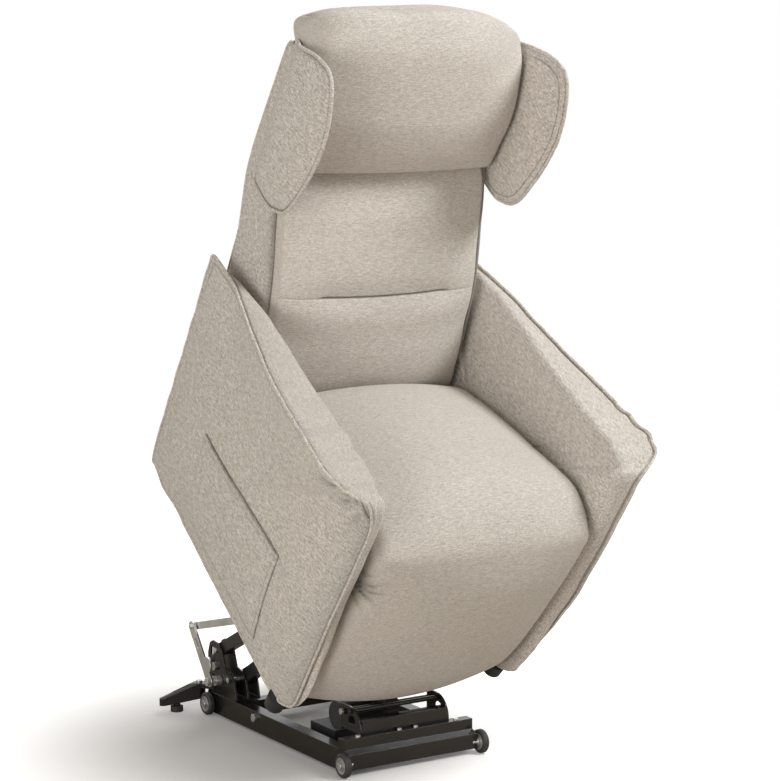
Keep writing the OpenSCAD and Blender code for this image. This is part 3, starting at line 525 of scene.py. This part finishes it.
def arm_skin(y, z):
    """How far out the arm's outer panel lies at a depth and height."""
    far = np.hypot(ARM_FACE[:, 1] - y, ARM_FACE[:, 2] - z)
    near = np.argsort(far)[:6]
    share = 1 / (far[near] + 0.5)
    return float(np.sum(ARM_FACE[near, 0] * share) / np.sum(share))


POCKET = [(523, 272), (155, 274), (165, 24), (497, 46)]
HEM_AT = 0.058


def pocket_sheet(u, v, rise):
    """A point of the patch, u along it and v down it, raised off the panel."""
    a, b, c, d = (np.array(q, float) for q in POCKET)
    q = (a * (1 - u) + b * u) * (1 - v) + (d * (1 - u) + c * u) * v
    return (-arm_skin(*q) - rise, q[0], q[1])


columns = np.concatenate([[0, 0.012], np.linspace(0.03, 0.97, 24), [0.988, 1]])
rows = np.concatenate([[0, 0.02, 0.035, 0.05, 0.065, 0.085], np.linspace(0.12, 0.96, 18), [0.985, 1]])
grid, dark = [], []
for v in rows:
    for u in columns:
        edge_fall = min(1.0, min(u, 1 - u, 1 - v) / 0.03)
        hem = math.exp(-((v - HEM_AT) / 0.010) ** 2)
        rise = 2.6 + 2.2 * edge_fall + (1.2 if v < 0.03 else 0) - 1.2 * hem
        rise += 2.6 * math.sin(math.pi * u) * max(0, 1 - v * 1.8)
        rise += 1.7 * noise.noise(Vector((u * 7 + v * 3, v * 4 - u, 1.0))) * edge_fall
        grid.append(pocket_sheet(u, v, rise))
        # Painted shade along the hem and round the patch's edges.
        dark.append(max(0.3 * hem, 0.6 * (u > 0.994), 0.5 * (v < 0.01 or v > 0.994), 0.35 * (u < 0.006)))
wide, high = len(columns), len(rows)
front_skin = lifted(grid)
back_skin = lifted([pocket_sheet(u, v, 0.6) for v in rows for u in columns])
points = np.vstack([front_skin, back_skin])
faces = []
for j in range(high - 1):
    for i in range(wide - 1):
        k = j * wide + i
        faces.append((k, k + 1, k + wide + 1, k + wide))
        k += wide * high
        faces.append((k, k + wide, k + wide + 1, k + 1))
rim = [*range(wide), *[j * wide + wide - 1 for j in range(1, high)],
       *[(high - 1) * wide + i for i in range(wide - 2, -1, -1)],
       *[j * wide for j in range(high - 2, 0, -1)]]
for a, b in zip(rim, rim[1:] + rim[:1]):
    faces.append((a, a + wide * high, b + wide * high, b))
pocket = piece_of("pocket_patch", points, faces, cloth_side, [np.array(dark), np.array(dark)])
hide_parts("side_pocket")
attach(pocket, "seat_body")
THREAD_RISE = 6.0
side_row = [pocket_sheet(0.975, v, THREAD_RISE) for v in np.linspace(0.02, 0.97, 40)]
foot_row = [pocket_sheet(u, 0.97, THREAD_RISE) for u in np.linspace(0.975, 0.03, 40)]
pocket_row = stitched("pocket_stitches", side_row + foot_row, thread)
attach(pocket_row, "seat_body")

# Seat pad: one long foam and fibre pad that covers the springs, rolls over the front
# and runs down the leg rest board.
# Each row: depth and height of the underside on its board, those of the top edge, the
# crown between the sides, half the width, and how far the underside sags in the middle.
CHAISE = [
    (487, 283, 480, 345, 6, 240, 0), (484, 284, 478, 366, 16, 246, 0), (474, 286, 470, 386, 26, 250, 0),
    (450, 290, 442, 402, 34, 252, 0), (410, 298, 398, 416, 40, 252, 0), (350, 309, 336, 433, 45, 252, 0),
    (280, 323, 268, 449, 47, 252, 0), (200, 338, 190, 465, 47, 252, 0), (130, 352, 124, 480, 45, 252, 0),
    (88, 361, 80, 489, 42, 252, 0), (62, 365, 42, 495, 40, 252, 0), (57, 363, 6, 487, 38, 252, 0),
    (53, 359, -26, 470, 33, 252, 0), (51, 355, -50, 445, 27, 252, 0), (50, 349, -54, 408, 28, 252, 0),
    (50, 335, -51, 368, 33, 252, 0), (49, 305, -46, 325, 36, 252, 0), (49, 262, -38, 272, 35, 252, 0),
    (48, 210, -30, 210, 31, 252, 4), (48, 155, -21, 152, 26, 251, 10), (47, 100, -10, 96, 25, 251, 18),
    (46, 60, 0, 57, 24, 250, 26), (46, 28, 11, 25, 22, 249, 32), (45, 2, 24, 0, 17, 248, 36),
    (45, -14, 36, -13, 8, 246, 38)]


def pad_section(row, depth):
    """One ring round a pad: a crowned top, rounded shoulders, sides and underside."""
    by, bz, ey, ez, crown, half, hang = row
    across = np.array([ey - by, ez - bz], float)
    t = np.linalg.norm(across)
    n = across / t
    r = min(depth, t * 0.45)
    low = min(7.0, t * 0.2)

    def corner(x, h, radius, start, end, count):
        turns = np.linspace(start, end, count)
        return [(x + radius * math.cos(a), h + radius * math.sin(a)) for a in turns]

    quarter = math.pi / 2
    shape = [(x, t) for x in np.linspace(-(half - r), half - r, 33)]
    shape += corner(half - r, t - r, r, quarter, 0, 7)[1:]
    shape += [(half, h) for h in np.linspace(t - r, low, 7)[1:-1]]
    shape += corner(half - low, low, low, 0, -quarter, 4)
    shape += [(x, 0.0) for x in np.linspace(half - low, -(half - low), 19)[1:-1]]
    shape += corner(-(half - low), low, low, -quarter, -math.pi, 4)
    shape += [(-half, h) for h in np.linspace(low, t - r, 7)[1:-1]]
    shape += corner(-(half - r), t - r, r, math.pi, quarter, 7)[:-1]
    out = []
    for x, h in shape:
        fall = 1 - (x / half) ** 2
        up = h + crown * fall * max(0.0, (h - low) / (t - low))
        out.append((x, by + n[0] * up, bz + n[1] * up - hang * fall))
    return np.array(out)


def rows_between(table, count, seams=()):
    """More rows along the pad, evenly spaced along its top edge and closer at its seams."""
    t = np.asarray(table, float)
    step = np.linalg.norm(np.diff(t[:, 2:4], axis=0), axis=1) + 6
    at = np.concatenate([[0], np.cumsum(step)])
    where = np.linspace(0, at[-1], count)
    for height in seams:
        k = np.argmax(t[:, 3] >= height)
        mid = np.interp(height, t[k - 1:k + 1, 3], at[k - 1:k + 1])
        where = np.concatenate([where[np.abs(where - mid) > 6], mid + np.array(
            [-5.2, -4, -3, -2.1, -1.4, -0.7, 0, 0.7, 1.4, 2.1, 3, 4, 5.2])])
    where = np.sort(where)
    slope = np.gradient(t, at, axis=0)
    out = []
    for w in where:
        i = min(np.searchsorted(at, w, side="right") - 1, len(at) - 2)
        h = at[i + 1] - at[i]
        u = (w - at[i]) / h
        out.append((2 * u ** 3 - 3 * u * u + 1) * t[i] + (u ** 3 - 2 * u * u + u) * h * slope[i]
                   + (3 * u * u - 2 * u ** 3) * t[i + 1] + (u ** 3 - u * u) * h * slope[i + 1])
    return out


def stuffed(piece, held, most, spare, even=4):
    """Lets the cover swell over its filling: cloth under pressure, held where it is sewn
    or rests on a board, each point moving no further than `most` metres. `spare` is the
    cloth's extra share of length, and `even` counts the passes that smooth the swelling."""
    mesh = piece.data
    rest = np.array([v.co[:] for v in mesh.vertices])
    for modifier in piece.modifiers:
        modifier.show_viewport = False
    group = piece.vertex_groups.new(name="sewn")
    for i, v in enumerate(rest):
        grip = held(v)
        if grip > 0:
            group.add([i], float(grip), "REPLACE")
    swell = piece.modifiers.new("swell", "CLOTH")
    for key, value in (("quality", 6), ("mass", 0.35), ("air_damping", 3.0), ("tension_stiffness", 22.0),
                       ("compression_stiffness", 22.0), ("shear_stiffness", 8.0),
                       ("bending_stiffness", 1.5), ("shrink_min", -spare), ("vertex_group_mass", "sewn"),
                       ("use_pressure", True), ("uniform_pressure_force", 3.5)):
        setattr(swell.settings, key, value)
    swell.settings.effector_weights.gravity = 0.0
    last_step = 20
    swell.point_cache.frame_start, swell.point_cache.frame_end = 1, last_step
    for step in range(1, last_step + 1):
        bpy.context.scene.frame_set(step)
    worn = piece.evaluated_get(bpy.context.evaluated_depsgraph_get()).to_mesh()
    moved = np.array([v.co[:] for v in worn.vertices]) - rest
    piece.evaluated_get(bpy.context.evaluated_depsgraph_get()).to_mesh_clear()
    far = np.linalg.norm(moved, axis=1)
    moved *= np.minimum(1.0, most / np.maximum(far, 1e-9))[:, None]
    ends = np.array([e.vertices[:] for e in mesh.edges])
    count = np.bincount(ends.ravel(), minlength=len(rest))[:, None]
    free = np.array([1.0 - held(v) for v in rest])[:, None]
    for _ in range(even):
        total = np.zeros_like(moved)
        np.add.at(total, ends[:, 0], moved[ends[:, 1]])
        np.add.at(total, ends[:, 1], moved[ends[:, 0]])
        moved = moved + free * (total / count - moved) * 0.8
    for v, place in zip(mesh.vertices, rest + moved):
        v.co = place
    print("swell", piece.name, "largest move %.1f mm" % (far.max() * 1000))
    piece.modifiers.remove(swell)
    piece.vertex_groups.remove(group)
    for modifier in piece.modifiers:
        modifier.show_viewport = True
    bpy.context.scene.frame_set(1)


def in_chair(point):
    """Depth and height in the chair's own frame, millimetres, of a place in the scene."""
    y, z = point[1] * 1000 - STANCE_Y, point[2] * 1000 - STANCE_Z
    return y * math.cos(TILT) + z * math.sin(TILT), z * math.cos(TILT) - y * math.sin(TILT)


def chaise_held(point):
    """How firmly the long pad is held: on its boards, at its ends and along its sides."""
    x = abs(point[0]) * 1000
    y, z = in_chair(point)
    board = y > 40 and z < 365 - (y - 64) * 0.193 + 5 or (y > 44 and z < 360)
    side = max(0.0, min(1.0, (x - 238) / 12))
    return 1.0 if board or y > 478 or z < -10 else 0.85 * side


chaise_rows = [pad_section(r, 22.0) for r in rows_between(CHAISE, 96)]
for ring in chaise_rows:
    for k, (x, y, z) in enumerate(ring):
        tuck = math.exp(-((abs(x) - 252) / 34) ** 2)
        gather = tuck * math.exp(-((z - 372) / 70) ** 2) * (y < -20)
        ring[k][1] += gather * (3.0 * noise.noise(Vector((x / 60, z / 9, 4.0))) + 5.0 * (x < 0))
        ring[k][2] += tuck * 1.5 * noise.noise(Vector((x / 50, (y + z) / 22, 8.0))) * (y > -20)
        if x > 225 and y < 20:
            ring[k][0] += 5.0 * math.exp(-((z - 433) / 8) ** 2)
chaise = skinned("chaise_pad", chaise_rows, cloth_front)
stuffed(chaise, chaise_held, 0.012, 0.006, 60)
# Gather: the cloth is drawn in under the arm's front corner, where folds fan out from it. Shade is painted
# into the left gather's folds, darkest at its corner.
GATHER_X, GATHER_Z, GATHER_SPAN = 265, 361, 110
fine = settled(chaise)
gather_painted_shade = []
for v in fine.vertices:
    y, z = in_chair(v.co)
    x = v.co[0] * 1000
    # Painted shade for this point, in the fold valleys and at the gather's corner.
    dark = 0.0
    for side, size, reach in ((-1, 9.0, 42.0), (1, 2.0, 22.0)):
        dx, dz = GATHER_X - side * x, z - GATHER_Z
        if y < 0 and dx < GATHER_SPAN and abs(dz) < GATHER_SPAN:
            far = math.hypot(dx, dz)
            wave = math.cos(11.0 * math.atan2(dz, dx) + 1.5 * noise.noise(Vector((dx / 20, dz / 20, 2.0))))
            pull = math.exp(-(far / reach) ** 2)
            v.co[1] += pull * size * (0.9 + 0.8 * max(0, wave) ** 3) / 1000
            near = math.exp(-(far / 27) ** 2)
            dark = max(dark, (0.9 * pull * max(0, wave) ** 3 + 1.0 * near) * (side < 0))
    gather_painted_shade.append(dark)
fine.attributes.new("painted_shade", "FLOAT", "POINT").data.foreach_set("value", gather_painted_shade)
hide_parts("seat_cushion", "front_roll", "legrest_pad")
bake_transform(chaise)

# Back shell: the woven cover of the back's sides and rear, stretched over the plywood
# frame and closed by a welted seam down each rear corner.
# Each row: height, and the depths of the shell's front edge and rear face there.
SHELL = [
    (338, 530, 664), (380, 512, 684), (430, 513, 702), (490, 522, 712), (550, 537, 718), (602, 551, 723),
    (639, 566, 726), (686, 588, 740), (720, 606, 751), (756, 622, 762), (800, 646, 768), (850, 680, 770),
    (902, 706, 770), (984, 716, 769), (1040, 724, 768), (1066, 730, 766), (1076, 740, 760)]


def shell_section(z, front, rear):
    """One level ring of the shell: to the rear along one side, across the bowed rear, to
    the front along the other side, and back along the inside of the wall."""
    half, wall, r, bow, lip = 253.0, 4.0, 14.0, 9.0, 5.0
    outer = [(-half + lip - lip * math.sin(a), front + lip - lip * math.cos(a)) for a in
             np.linspace(0, math.pi / 2, 4)[:-1]]
    outer += [(-half, y) for y in np.linspace(front + lip, rear - r, 9)]
    outer += [(-half + r - r * math.cos(a), rear - r + r * math.sin(a)) for a in
              np.linspace(0, math.pi / 2, 6)[1:]]
    outer += [(x, rear + bow * (1 - (x / (half - r)) ** 2))
              for x in np.linspace(-half + r, half - r, 25)[1:-1]]
    outer += [(half - r + r * math.cos(a), rear - r + r * math.sin(a)) for a in
              np.linspace(math.pi / 2, 0, 6)]
    outer += [(half, y) for y in np.linspace(rear - r, front + lip, 9)[1:]]
    outer += [(half - lip + lip * math.sin(a), front + lip - lip * math.cos(a)) for a in
              np.linspace(math.pi / 2, 0, 4)[1:]]
    scale = (half - wall) / half
    inner = [(math.copysign(min(abs(x * scale), half - wall - 1), x), y + (2 if y < front + lip else 0)
              - (wall if y > rear - r else 0)) for x, y in reversed(outer)]
    return np.array([(x, y, z) for x, y in outer + inner])


shell_rows = rows_between([(0, 0, z, 0, f, r) for z, f, r in SHELL], 40)
shell_rings = [shell_section(r[2], r[4], r[5]) for r in shell_rows]
# Painted shade along the shell's front edge, darkest in the groove beside the back pad.
shell_painted_shade = []
for ring, r in zip(shell_rings, shell_rows):
    far = ring[:, 1] - r[4]
    shell_painted_shade.append(0.5 * np.exp(-(far / 4) ** 2) + 0.22 * np.exp(-(far / 22) ** 2))
back_cover = skinned("back_cover", shell_rings, cloth_side, False, shell_painted_shade)
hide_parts("back_shell")
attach(back_cover, "back")
for side, word in ((-1, "left"), (1, "right")):
    line = [(side * 249.5, r[5] - 3.5, r[2]) for r in shell_rows]
    welt = tube("back_welt_" + word, line, 3.0, cloth_side, False)
    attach(welt, "back")

# Back pad: fibre-filled upper and lumbar pads sewn as one cover, with a sewn channel
# across the middle that stops short of the sides. Its rows, from the bottom up, and the
# pillow's, from the top down, are as the seat pad's without the sag.
CHANNEL_X, CHANNEL_Z, CHANNEL_HALF = 11, 606, 152
BACK = [
    (519, 338, 534, 338, 3, 240), (570, 338, 517, 343, 6, 246), (588, 352, 503, 356, 12, 249),
    (596, 372, 494, 375, 18, 250), (606, 420, 500, 424, 21, 250), (618, 470, 510, 474, 22, 250),
    (631, 526, 526, 528, 22, 250), (640, 560, 533, 562, 22, 250), (646, 584, 538, 585, 22, 250),
    (650, 600, 543, 601, 22, 250), (652, 608, 545, 608, 22, 250), (654, 616, 548, 616, 22, 250),
    (658, 634, 556, 634, 22, 250), (667, 673, 575, 673, 22, 250), (678, 720, 597, 719, 22, 250),
    (689, 773, 620, 771, 22, 250), (697, 812, 640, 808, 20, 249), (702, 836, 662, 832, 12, 247),
    (704, 846, 684, 844, 4, 243)]


def back_ring(row):
    """One ring of the back pad, puckered at its side seams and dipped at the channel."""
    by, bz, ey, ez, crown, half = row
    ring = pad_section((by, bz, ey, ez, crown, half - 5.5, 0), 13.0)
    mid = (bz + ez) / 2
    for k, (x, y, z) in enumerate(ring):
        tuck = math.exp(-((abs(x) - 244) / 20) ** 2) * (y < by - 30)
        ring[k][1] += tuck * (1.3 * noise.noise(Vector((x / 90, z / 7, 14.0))) + 1.5 * noise.noise(
            Vector((x / 90, z / 24, 5.0))))
        if y < by - 40:
            run = min(1.0, max(0.0, (CHANNEL_HALF - abs(x - CHANNEL_X)) / 4))
            stitch = 11 * run * math.exp(-((mid - CHANNEL_Z) / 1.8) ** 2)
            hollow = (1 + 3.5 * run) * math.exp(-((mid - CHANNEL_Z) / 20) ** 2)
            ring[k][1] = y + (stitch + hollow)
    return ring


# Painted shade in the sewn channel across the pad's front.
def channel_painted_shade(ring, mid):
    run = np.clip((CHANNEL_HALF - np.abs(ring[:, 0] - CHANNEL_X)) / 3, 0, 1)
    front = ring[:, 1] < np.interp(mid, (338, CHANNEL_Z, 846), (535, 570, 680))
    return 0.95 * run * front * math.exp(-((mid - CHANNEL_Z) / 1.6) ** 2)


back_rows = rows_between(BACK, 90, (CHANNEL_Z,))
back_rings = [back_ring(r) for r in back_rows]
back_painted_shade = [channel_painted_shade(ring, (r[1] + r[3]) / 2) for ring, r in zip(back_rings, back_rows)]
back_pad = skinned("back_pad", back_rings, cloth_front, False, back_painted_shade)


def back_held(point):
    x = abs(point[0]) * 1000
    y, z = in_chair(point)
    run = max(0.0, min(1.0, (CHANNEL_HALF + 4 - abs(point[0] * 1000 - CHANNEL_X)) / 8))
    seam = math.exp(-((z - CHANNEL_Z) / 7) ** 2) * run
    rear = y > np.interp(z, (338, 430, 608, 773, 846), (545, 560, 612, 668, 692))
    side = max(0.0, min(1.0, (x - 234) / 10))
    return 1.0 if rear or z < 352 or z > 836 else max(seam, 0.95 * side)


stuffed(back_pad, back_held, 0.010, 0.018, 14)
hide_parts("back_cushion")
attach(back_pad, "back")

# Head pillow: a full fibre pillow hung over the top of the back, wider than the pad
# below it, with its left top corner drawn back and out to a blunt ear.
PILLOW = [
    (738, 1120, 722, 1128, 6, 240), (742, 1122, 706, 1130, 12, 248), (746, 1114, 690, 1112, 18, 252),
    (742, 1090, 672, 1088, 22, 253), (728, 1050, 654, 1044, 23, 253), (718, 1015, 644, 1010, 24, 253),
    (710, 980, 638, 978, 25, 253), (704, 945, 637, 944, 25, 253), (698, 905, 640, 905, 24, 253),
    (692, 868, 642, 868, 22, 252), (690, 842, 646, 841, 16, 250), (688, 830, 662, 829, 4, 246)]
# Where the pillow's top edge rises, across the chair, and by how much.
TOP_LINE = ((-252, -238, -225, -180, -125, -60, 0, 70, 140, 195, 232, 252),
            (-8, 20, 39, 50, 52, 51, 51, 48, 39, 22, 2, -14))


def pillow_ring(row):
    """One ring of the pillow, raised along its top line and drawn out at the left ear."""
    by, bz, ey, ez, crown, half = row
    ring = pad_section((by, bz, ey, ez, crown, half, 0), 14.0)
    mid = (bz + ez) / 2
    rise = max(0, (mid - 1000) / 126)
    for k, (x, y, z) in enumerate(ring):
        ear = max(0, min(1, (-x - 212) / 40)) * max(0, min(1, (mid - 1086) / 34))
        ring[k][0] = x - 5 * ear
        ring[k][1] = y + 22 * ear
        ring[k][2] = z + rise * np.interp(x, *TOP_LINE)
    return ring


pillow = skinned("head_pillow_cover", [pillow_ring(r) for r in rows_between(PILLOW, 56)], cloth_front)


def pillow_held(point):
    x = abs(point[0]) * 1000
    y, z = in_chair(point)
    rear = y > np.interp(z, (842, 905, 980, 1050, 1120), (672, 680, 690, 706, 722)) and z < 1120
    side = max(0.0, min(1.0, (x - 240) / 10))
    return 1.0 if rear or z < 836 else 0.95 * side


stuffed(pillow, pillow_held, 0.010, 0.016)
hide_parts("head_pillow")
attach(pillow, "back")

# Wings: foam-padded boards screwed to the sides of the back beside the head pillow,
# with the same flanged seam round their outer edge as the arms.
WING_EDGE = [
    (741, 1089), (707, 1100), (665, 1113), (640, 1121), (617, 1126), (592, 1128), (573, 1126), (561, 1119),
    (549, 1107), (539, 1091), (530, 1070), (522, 1047), (517, 1022), (514, 996), (516, 968), (520, 934),
    (527, 901), (536, 870), (543, 846), (551, 826), (562, 808), (578, 795), (598, 786), (619, 779),
    (645, 779), (672, 783), (706, 792), (728, 824), (736, 900), (738, 980), (740, 1050)]
WING_MID = np.array([640.0, 950.0])
WING_FACE, WING_INNER, WING_BACK = 275, 251.0, 735
# Each row: share of the way out from the middle, millimetres out, and depth of shade.
WING_ROWS = [
    (0.15, 10, 0), (0.4, 9.5, 0), (0.6, 8.5, 0), (0.75, 7, 0), (0.85, 5.2, 0), (0.91, 3.6, 0),
    (0.95, 2, 0), (0.975, 0.2, 0.3), (0.99, -1.6, 0.85), (1.0, -2.5, 0.5), (0.992, -4.5, 0),
    (0.975, -6, 0), (0.955, -7.4, 0), (0.938, -8.4, 0), (0.925, -10.6, 0.7), (0.91, -9.8, 0),
    (0.87, -11.6, 0), (0.78, -14.5, 0), (0.6, -18, 0), (0.4, -18.5, 0), (0.2, -18.5, 0)]
for side, word in ((-1, "left"), (1, "right")):
    p, _, normal, _, _ = edge_frame(WING_EDGE, WING_MID, 200)
    pucker = ripple(p, 15, 21.0 + side)
    p = p + normal * (1.0 * pucker)[:, None]
    seam = p + normal * 0.6
    p = p - normal * 2.2
    out = WING_FACE - 23 * np.clip((p[:, 0] - 690) / 45, 0, 1)
    sewn = 1 - np.clip((p[:, 0] - 650) / 50, 0, 1)
    rings, painted_shade = [], []
    for s, x, dark in WING_ROWS:
        q = WING_MID + (p - WING_MID) * s
        edge_x = WING_FACE + (out - WING_FACE) * s ** 3 + x + (0.8 * pucker if s > 0.7 else 0)
        # Painted shade along the sewn front edge, each ring as dark as its row's depth of shade.
        painted_shade.append(dark * sewn)
        rings.append(np.column_stack([side * np.maximum(edge_x, WING_INNER), q]))
    wing = skinned("wing_cover_" + word, rings, cloth_side, False, painted_shade)
    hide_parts("wing_" + word)
    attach(wing, "back")
    front = np.argmin(p[:, 0])
    order = np.roll(np.arange(len(p)), -int(front) + 100)
    keep = order[p[order, 0] < WING_BACK]
    line = np.column_stack([side * (out - 0.6), seam])[keep]
    piping = tube("wing_piping_" + word, line, 3.9, cloth_side, False)
    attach(piping, "back")

# Studio: a plain white floor that keeps the chair's soft shadow, with a camera-only glow that fades close
# to the chair as a painted shadow round its base, a wide top light, a softer front light and a pale world.
floor_mesh = bpy.data.meshes.new("studio_floor")
floor_mesh.from_pydata([(-4, -4, 0), (4, -4, 0), (4, 4, 0), (-4, 4, 0)], [], [(0, 1, 2, 3)])
floor = bpy.data.objects.new("studio_floor", floor_mesh)
bpy.context.scene.collection.objects.link(floor)
floor_white, tree, shader = nodes_of("studio_white")
shader.inputs["Roughness"].default_value = 0.9
shader.inputs["Specular IOR Level"].default_value = 0.1
shader.inputs["Emission Color"].default_value = (1, 1, 1, 1)
path = tree.nodes.new("ShaderNodeLightPath")
place = tree.nodes.new("ShaderNodeTexCoord").outputs["Object"]
# Painted shadow: the floor's camera-only glow is weakest near the chair, centred a little to its left and
# rear, and full white further out.
from_painted_shadow_centre = joined(tree, "ShaderNodeMapping", [("Vector", place)], Location=(0.12, -0.10, 0.0))
far = joined(tree, "ShaderNodeVectorMath", [(0, from_painted_shadow_centre.outputs["Vector"])], operation="LENGTH")
glow_past_painted_shadow = joined(tree, "ShaderNodeMapRange", [("Value", far.outputs["Value"])], From_Min=0.22,
                    From_Max=0.78, To_Min=0.04, To_Max=0.75, interpolation_type="SMOOTHSTEP")
lift = joined(tree, "ShaderNodeMath", [(0, path.outputs["Is Camera Ray"]),
                                       (1, glow_past_painted_shadow.outputs["Result"])], operation="MULTIPLY")
tree.links.new(lift.outputs[0], shader.inputs["Emission Strength"])
ground = joined(tree, "ShaderNodeMix", [("Factor", path.outputs["Is Camera Ray"])], data_type="RGBA",
                A=(0.56, 0.52, 0.46, 1), B=(0.86, 0.86, 0.86, 1))
tree.links.new(ground.outputs["Result"], shader.inputs["Base Color"])
floor_white.cycles.emission_sampling = "NONE"
floor_mesh.materials.append(floor_white)


def lamp(name, place, aim, size, watts, tint=(1, 1, 1)):
    data = bpy.data.lights.new(name, "AREA")
    data.shape = "DISK"
    data.size = size
    data.energy = watts
    data.color = tint
    light = bpy.data.objects.new(name, data)
    light.location = place
    light.rotation_euler = (Vector(aim) - Vector(place)).to_track_quat("-Z", "Y").to_euler()
    bpy.context.scene.collection.objects.link(light)


lamp("top_light", (2.1, -2.2, 3.5), (0.0, 0.0, 0.8), 1.5, 140, (0.985, 0.99, 1.0))
lamp("front_light", (-4.1, -2.1, 1.0), (0.0, 0.1, 0.6), 2.2, 86, (1.0, 0.985, 0.97))
lamp("rim_light", (2.4, 2.6, 2.6), (0.0, 0.1, 0.9), 2.0, 30)

world = bpy.data.worlds.new("studio")
bpy.context.scene.world = world
world.use_nodes = True
tree = world.node_tree
soft = tree.nodes["Background"]
soft.inputs["Color"].default_value = (1.0, 0.945, 0.86, 1)
soft.inputs["Strength"].default_value = 0.38
seen = joined(tree, "ShaderNodeBackground", Color=(1, 1, 1, 1), Strength=1.0)
path = tree.nodes.new("ShaderNodeLightPath")
either = joined(tree, "ShaderNodeMath", [(0, path.outputs["Is Camera Ray"]),
                                         (1, path.outputs["Is Glossy Ray"])], operation="MAXIMUM")
both = joined(tree, "ShaderNodeMath", [(0, either.outputs[0]), (1, path.outputs["Is Transmission Ray"])],
              operation="MAXIMUM")
mix = tree.nodes.new("ShaderNodeMixShader")
tree.links.new(both.outputs[0], mix.inputs["Fac"])
tree.links.new(soft.outputs["Background"], mix.inputs[1])
tree.links.new(seen.outputs["Background"], mix.inputs[2])
tree.links.new(mix.outputs["Shader"], tree.nodes["World Output"].inputs["Surface"])
bpy.context.scene.view_settings.view_transform = "Standard"

# Camera: at the photograph's viewing angle, with a long lens aimed at the middle of
# the chair.
lens = bpy.data.cameras.new("studio_camera")
lens.lens = 112.78
lens.sensor_width = 36.0
lens.clip_end = 100.0
camera = bpy.data.objects.new("studio_camera", lens)
camera.location = (-2.6753, -4.2380, 1.4345)
aim = Vector((0.0901, 0.0670, 0.7432)) - camera.location
camera.rotation_euler = aim.to_track_quat("-Z", "Y").to_euler()
bpy.context.scene.collection.objects.link(camera)
bpy.context.scene.camera = camera
